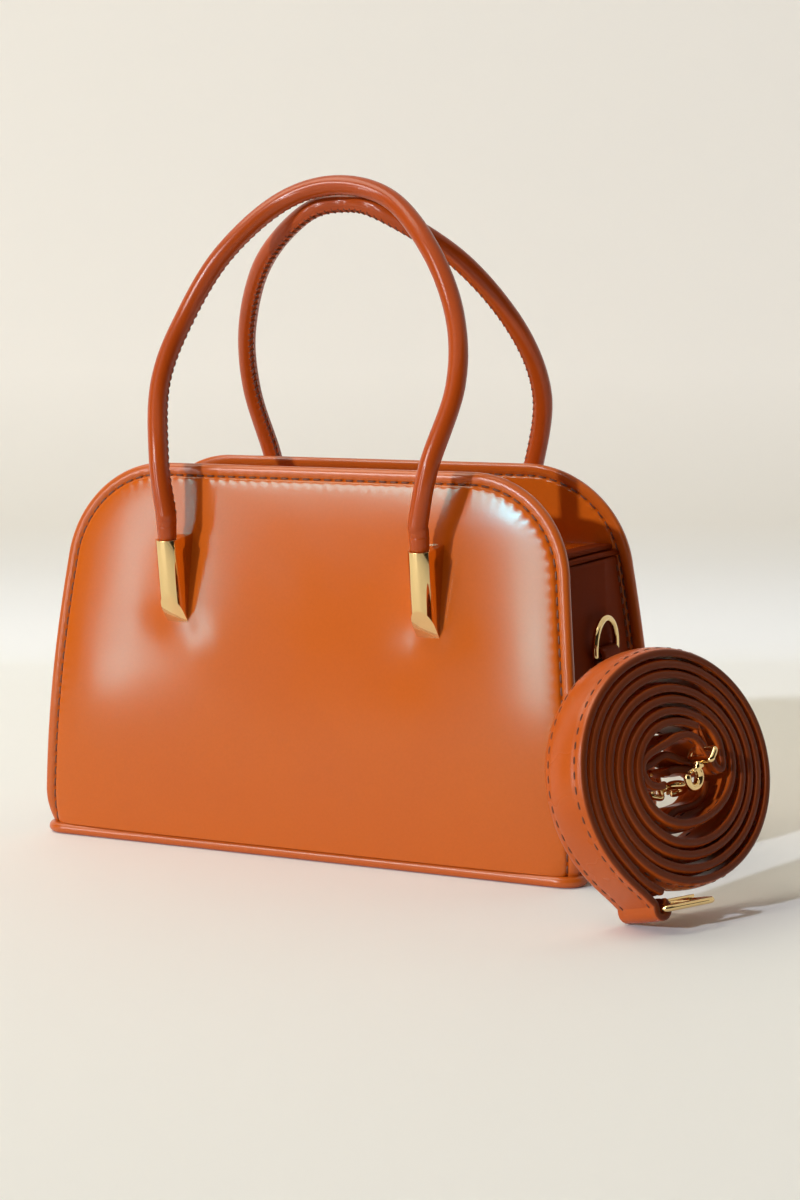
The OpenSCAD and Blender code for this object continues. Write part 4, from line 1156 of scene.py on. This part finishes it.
def strandShape(flat, cupped, width, front=0.0):
    path = np.concatenate([flat, np.full((len(flat), 1), -width / 2 - front)], 1)[::2]
    way = heading(path)
    side = np.cross(every((0, 0, 1), way), way)
    profile = roundedBar(strap["thick"], width, 1.0, 4, 1, 24)
    line = width / 2 - strap["seamIn"]
    dip = 0.22 * bell(np.abs(profile[:, 1]) - line, 0.55)
    across = clamp(1 - (profile[:, 1] / (width / 2)) ** 2)
    profile = profile + np.stack([np.sign(profile[:, 0]) * (strap["crown"] * across - dip), 0 * dip], 1)
    cup = strap["cup"] * cupped[::2, None] * across[None]
    bent = profile[None] + np.stack([cup, 0 * cup], -1)
    shape = sweep(path, side, every((0, 0, 1), path), bent)
    # Wear on the strap's edges, which form the roll's face: real edge wear, and painted shade for that face
    # lying out of the light
    edge = clamp((np.abs(profile[:, 1]) - width / 2 + 0.85) / 0.4)
    wearAndShade = np.concatenate([np.tile(edge, len(path)), [0, 0]])
    return rollShape(shape), wearAndShade


# Stitches of a strand: both faces, both edges, lifted by the cup's share at the seam
def strandStitches(flat, cupped, skip):
    s = alongPath(flat)
    half = strap["width"] / 2
    line = half - strap["seamIn"]
    share = (1 - (line / half) ** 2) * strap["cup"] * cupped
    at = np.arange(skip, s[-1] - 3, strap["seamPitch"])
    centre = sampled(at, s, flat)
    along = unit(sampled(at, s, heading(flat)))
    out = np.stack([-along[:, 1], along[:, 0]], 1)
    centre = centre + out * np.interp(at, s, share)[:, None]
    zero = np.zeros((len(at), 1))
    shapes = []
    for face in (-1, 1):
        for row in (-1, 1):
            flatPoints = centre + face * out * (strap["thick"] / 2 - 0.10)
            points = np.concatenate([flatPoints, zero - half + row * line], 1)
            outward = np.concatenate([face * out, zero], 1)
            shapes.append(stitches(points, np.concatenate([along, zero], 1), outward, *strap["thread"]))
    return rollShape(joined(shapes))


loopSizes = dict(thick=1.25, width=4.4, gap=0.66, eyeRadius=1.3, least=3.4)


# End loop: a narrow strip from the strap's tip, round the hook's eye and back
def endLoop(tip, eye, depth):
    way = unit((eye - tip)[None])[0]
    out = np.array([-way[1], way[0]])
    start = math.atan2(out[1], out[0])
    a = np.linspace(start, start - np.pi, 20)
    half = loopSizes["gap"]
    arc = eye + (loopSizes["eyeRadius"] + half) * np.stack([np.cos(a), np.sin(a)], 1)
    back = tip - 2.0 * way
    up, down = [back + out * half, tip + out * half], [tip - out * half, back - out * half]
    flat = softened(evenly(np.concatenate([up, arc, down]), 0.35), 1.4)
    path = np.concatenate([flat, np.full((len(flat), 1), -depth)], 1)
    front = every((0, 0, 1), path)
    profile = roundedBar(loopSizes["thick"], loopSizes["width"], 0.5, 3, 1, 4)
    return rollShape(sweep(path, np.cross(front, heading(path)), front, profile))


hooks = dict(upper=dict(eye=(0.308, 0.144), turn=-128.0, depth=1.0, roll=-12.0),
             lower=dict(eye=(-0.072, -0.062), turn=-14.5, depth=14.0, roll=70.0))
folds = dict(leaf=(15.8, 5.4), tuck=(14.2, 7.0))  # width, and how far in front of the strap's middle
outerFlat, innerFlat, leafFlat, tuckFlat = strandPaths()
for label, flat, hook, skip, before, after in (
        ("outer", outerFlat, "upper", 15.0, 40, 5), ("inner", innerFlat, "lower", 4.0, 10, 85)):
    cupped = cupShare(flat, before, after)
    shape, wearAndShade = strandShape(flat, cupped, strap["width"])
    eye = strap["rollRadius"] * np.array(hooks[hook]["eye"])
    loop = endLoop(flat[-1], eye, max(hooks[hook]["depth"], loopSizes["least"]))
    pieces, wornAndShaded = [shape, loop], [wearAndShade, np.zeros(len(loop[0]))]
    if label == "outer":
        for extra, width, front in ((leafFlat, *folds["leaf"]), (tuckFlat, *folds["tuck"])):
            part, partWear = strandShape(extra, np.zeros(len(extra)), width, front)
            pieces.append(part)
            wornAndShaded.append(partWear)
    addPiece(label + "StrandSkin", joined(pieces), materials["strap"], "strap",
             ["strap_" + label + "_strand"], np.concatenate(wornAndShaded))
    seam = strandStitches(flat, cupped, skip)
    addPiece(label + "StrandSeam", seam, materials["thread"], "strap")


# Buckle: a rounded oblong of wire round the fold, in the plane across the strap
def wireLoop(length, half, radius, corner, spacing=0.5):
    flat = np.array([[0, -half], [length, -half], [length, half], [0, half]], float)
    flat = softened(evenly(flat, spacing, True), corner / spacing / 1.6, True)
    path = np.stack([flat[:, 0], np.zeros(len(flat)), flat[:, 1]], 1)
    return tube(path, radius, (0, 1, 0), 16, True)


buckle = wireLoop(23.0, strap["width"] / 2 + 0.3 + barRadius, barRadius, 2.2)
shift = np.array([foldX, foldY, -strap["width"] / 2])
buckle = rollShape((buckle[0] + shift, buckle[1], buckle[2]))
addPiece("buckleWire", buckle, materials["gold"], "strap", ["buckle_frame"])
bevelledCopy("prongSoft", "buckle_prong", "prong", 0.3)


# From the hook's own frame into the roll: rolled about its axis, turned in the face, moved to its eye
def inHook(shape, hook):
    share, turn, depth, roll = (hooks[hook][k] for k in ("eye", "turn", "depth", "roll"))
    c, s = math.cos(math.radians(turn)), math.sin(math.radians(turn))
    p = shape[0]
    b, d = math.cos(math.radians(roll)), math.sin(math.radians(roll))
    p = np.stack([p[:, 0], p[:, 1] * b - p[:, 2] * d, p[:, 1] * d + p[:, 2] * b], 1)
    flat = np.stack([p[:, 0] * c - p[:, 1] * s, p[:, 0] * s + p[:, 1] * c, p[:, 2]], 1)
    at = strap["rollRadius"] * np.array([*share, 0.0]) - np.array([0, 0, depth])
    return rollShape((flat + at, shape[1], shape[2]))


# Hook: a collar and shank, then most of a circle, thicker at the shoulder and drawn to a rounded nose
def hookShape():
    lead = np.stack([np.linspace(6.3, 8.8, 8)[:-1], np.zeros(7), np.zeros(7)], 1)
    a = np.radians(np.linspace(180, -75, 60))
    bend = np.stack([12.6 + 3.8 * np.cos(a), 3.8 * np.sin(a), 0 * a], 1)
    path = np.concatenate([lead, bend])
    soft = softened(evenly(path, 0.3), 1.4)
    s = alongPath(soft)
    radius = np.interp(s, [0, 0.5, 0.9, 1.6, 2.4, 4, 8, 14, 18.2, 18.9, s[-1]],
                       [1.5, 2.2, 2.25, 1.8, 1.5, 1.7, 1.65, 1.45, 1.45, 1.2, 0.6])
    return tube(soft, radius, (0, 0, 1), 16)


# Gate: a short bar with a thumb knob, turning at the shoulder of the hook
def gateShape():
    start, stop = np.array([10.24, -1.71, 0]), np.array([12.52, -3.04, 0])
    t = np.linspace(0, 1, 14)[:, None]
    path = start * (1 - t) + stop * t
    radius = 0.8 * np.sqrt(np.clip(1 - clamp((np.abs(2 * t[:, 0] - 1) - 0.7) / 0.32) ** 2, 0.05, 1))
    knob = np.stack([np.zeros(9), np.zeros(9), np.linspace(0, 1.7, 9)], 1) + (start * 0.75 + stop * 0.25)
    size = np.array([0.5, 0.5, 0.5, 0.55, 0.75, 0.85, 0.85, 0.7, 0.3])
    return joined([tube(path, radius, (0, 0, 1), 12), tube(knob, size, (1, 0, 0), 12)])


for hook in hooks:
    eyeWire = inHook(wireLoop(5.0, 5.0, 1.25, 1.2, 0.3), hook)
    addSet(hook, [
        ("HookEyeWire", eyeWire, "gold", "strap", "gold_metal", "_hook_eye"),
        ("HookBend", inHook(hookShape(), hook), "gold", hook + "_hook", "gold_metal", "_hook_body"),
        ("HookGateBar", inHook(gateShape(), hook), "gold", hook + "_gate", "gold_metal", "_hook_gate")])
print("strap made")

# Metal with flat faces: soft edges on copies of the nodes
for side in ("front", "back"):
    for end in ("left", "right"):
        bevelledCopy(side + end.capitalize() + "LugSoft", side + "_" + end + "_lug", "bag", 0.22)
bevelledCopy("sliderSoft", "zip_slider", "slider", 0.22, 2)
bevelledCopy("pullSoft", "zip_pull", "pull", 0.25, 2)

# Nodes that keep their own mesh
keep = dict(gold=["lug_screws", "lug_washers", "front_zip_teeth", "back_zip_teeth"],
            board=["front_board", "back_board", "base_board", "front_handle_core", "back_handle_core"])
for key, names in keep.items():
    for name in names:
        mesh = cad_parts[name].data
        mesh.materials.clear()
        mesh.materials.append(materials[key])
print("metal made")

# Plain pale floor that turns up into a wall, and soft light
room = dict(floorTone=(0.85, 0.845, 0.80, 1), lowTone=(0.64, 0.59, 0.485, 1), highTone=(0.86, 0.80, 0.69, 1),
            wallAway=560.0, bend=60.0, footSlope=12.0, wallSlope=5.5,
            airTone=(0.84, 0.79, 0.71, 1), glowTone=(1.0, 0.87, 0.64, 1), air=0.12, seenAir=0.80)


# Backdrop surface with a plain material
def addBackdrop(name, points, materialName, roughness):
    grid, quads = gridShape(points)[:2]
    mesh = bpy.data.meshes.new(name)
    mesh.from_pydata(grid.tolist(), [], quads.tolist())
    item = linked(name, mesh)
    material = bpy.data.materials.new(materialName)
    material.use_nodes = True
    shader = material.node_tree.nodes["Principled BSDF"]
    shader.inputs["Roughness"].default_value = roughness
    mesh.materials.append(material)
    return item, shader


# Floor and wall: reach runs away from the camera, height rises round a quarter circle
def addRoom():
    az = math.radians(camera["azimuth"])
    away = np.array([-math.sin(az), math.cos(az), 0])
    across = np.array([math.cos(az), math.sin(az), 0])
    a = np.linspace(0, np.pi / 2, 14)
    turn = room["wallAway"] - room["bend"] + room["bend"] * np.sin(a)
    reach = np.concatenate([[-2600, 0, 300], turn, [room["wallAway"]]])
    height = np.concatenate([[0, 0, 0], room["bend"] * (1 - np.cos(a)), [2600]])
    rows = reach[:, None, None] * away + np.linspace(-3000, 3000, 5)[None, :, None] * across
    rows[..., 2] += height[:, None]
    item, shader = addBackdrop("studioSweep", rows * mm, "studioPaper", 0.75)
    tree = shader.id_data
    item.data.polygons.foreach_set("use_smooth", np.ones(len(item.data.polygons), bool))
    parts = tree.nodes.new("ShaderNodeSeparateXYZ")
    tree.links.new(tree.nodes.new("ShaderNodeTexCoord").outputs["Object"], parts.inputs[0])
    foot = mathNode(tree, "MULTIPLY", parts.outputs["Z"], room["footSlope"], clamp=True)
    rise = mathNode(tree, "MULTIPLY", parts.outputs["Z"], room["wallSlope"], clamp=True)
    wall = mixColour(tree, rise, room["lowTone"], room["highTone"])
    tree.links.new(mixColour(tree, foot, room["floorTone"], wall), shader.inputs["Base Color"])
    glass = tree.nodes.new("ShaderNodeBsdfTransparent")  # from behind, the wall isn't there
    both = tree.nodes.new("ShaderNodeMixShader")
    tree.links.new(tree.nodes.new("ShaderNodeNewGeometry").outputs["Backfacing"], both.inputs[0])
    tree.links.new(shader.outputs[0], both.inputs[1])
    tree.links.new(glass.outputs[0], both.inputs[2])
    tree.links.new(both.outputs[0], tree.nodes["Material Output"].inputs["Surface"])
    item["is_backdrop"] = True


darkCard = dict(radius=3.2, height=3.2, first=-80.0, last=105.0, tone=(0.03, 0.025, 0.02, 1))


# Dark card behind the camera, part of a cylinder (r sin a, -r cos a, h): only mirrored in metal and gloss
def addDarkCard():
    a = np.radians(np.linspace(darkCard["first"], darkCard["last"], 40))[:, None]
    h = np.linspace(0.02, darkCard["height"], 4)[None]
    r = darkCard["radius"]
    points = np.stack([r * np.sin(a) + 0 * h, -r * np.cos(a) + 0 * h, h + 0 * a], -1)
    item, shader = addBackdrop("darkCard", points, "darkFelt", 0.9)
    shader.inputs["Base Color"].default_value = darkCard["tone"]
    item.visible_camera = item.visible_diffuse = item.visible_shadow = item.visible_transmission = False
    item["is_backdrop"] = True


aim = (0.03, 0, 0.1)


# Object of a light that shines from a direction
def aimedLight(name, data, back):
    item = linked(name, data)
    item.rotation_mode = "QUATERNION"
    item.rotation_quaternion = (-back).to_track_quat("-Z", "Y")
    return item


# Lamp at an azimuth and elevation seen from the bag, aimed at it: place = aim + distance * direction
def addLamp(name, azimuth, elevation, distance, sizeX, sizeY, power, colour, sheenOnly):
    data = bpy.data.lights.new(name, "AREA")
    data.shape = "RECTANGLE"
    data.size, data.size_y = sizeX, sizeY
    data.energy = power
    data.color = colour
    back = toward(azimuth, elevation)
    item = aimedLight(name, data, back)
    item.location = Vector(aim) + back * distance
    item.visible_diffuse = not sheenOnly
    item.visible_camera = False


# Azimuth, elevation, distance, two sizes, power, colour, and whether it is only mirrored in what is glossy
lamps = [
    ("upperLeftSoft", -62, 60, 2.6, 1.8, 1.4, 40, (1.0, 0.93, 0.78), False),
    ("leftSheen", -37, 8, 1.9, 0.14, 0.72, 4.8, (1.0, 1.0, 1.0), True),
    ("topSheen", -27, 27, 1.9, 0.66, 0.36, 12.5, (1.0, 0.98, 0.96), True),
    ("edgeSheen", -13, 9, 1.9, 0.22, 0.70, 7.0, (1.0, 0.98, 0.96), True),
]
daylight = dict(azimuth=-19.0, elevation=20.0, spread=2.0, strength=2.25, glint=0.30,
                colour=(0.88, 0.98, 1.18))


# Low daylight from the left of the camera, which draws the crisp shadows
def addDaylight(name, strength, sheenOnly):
    data = bpy.data.lights.new(name, "SUN")
    data.angle = math.radians(daylight["spread"])
    data.energy = strength
    data.color = daylight["colour"]
    item = aimedLight(name, data, toward(daylight["azimuth"], daylight["elevation"]))
    item.visible_diffuse = not sheenOnly
    item.visible_glossy = sheenOnly


# World: a faint warm glow as light, and a pale tone where the camera, gloss or glass looks at it
def addWorld():
    world = bpy.data.worlds.new("studioWorld")
    bpy.context.scene.world = world
    world.use_nodes = True
    tree = world.node_tree
    ground = tree.nodes["Background"]
    path = tree.nodes.new("ShaderNodeLightPath")
    seen = mathNode(tree, "MAXIMUM", path.outputs["Is Camera Ray"], path.outputs["Is Glossy Ray"])
    seen = mathNode(tree, "MAXIMUM", seen, path.outputs["Is Transmission Ray"])
    tree.links.new(mixColour(tree, seen, room["glowTone"], room["airTone"]), ground.inputs["Color"])
    strength = mathNode(tree, "MULTIPLY_ADD", seen, room["seenAir"] - room["air"], room["air"])
    tree.links.new(strength, ground.inputs["Strength"])


addRoom()
addDarkCard()
for lamp in lamps:
    addLamp(*lamp)
addDaylight("lowDaylight", daylight["strength"], False)
addDaylight("daylightGlint", daylight["glint"], True)
addWorld()
bpy.context.scene.view_settings.view_transform = "Standard"
print("room and light set")

seenLow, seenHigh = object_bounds()
seenSize, cadSize = ([round(v, 4) for v in size] for size in (seenHigh - seenLow, cadHigh - cadLow))
print("size", seenSize, "against", cadSize)
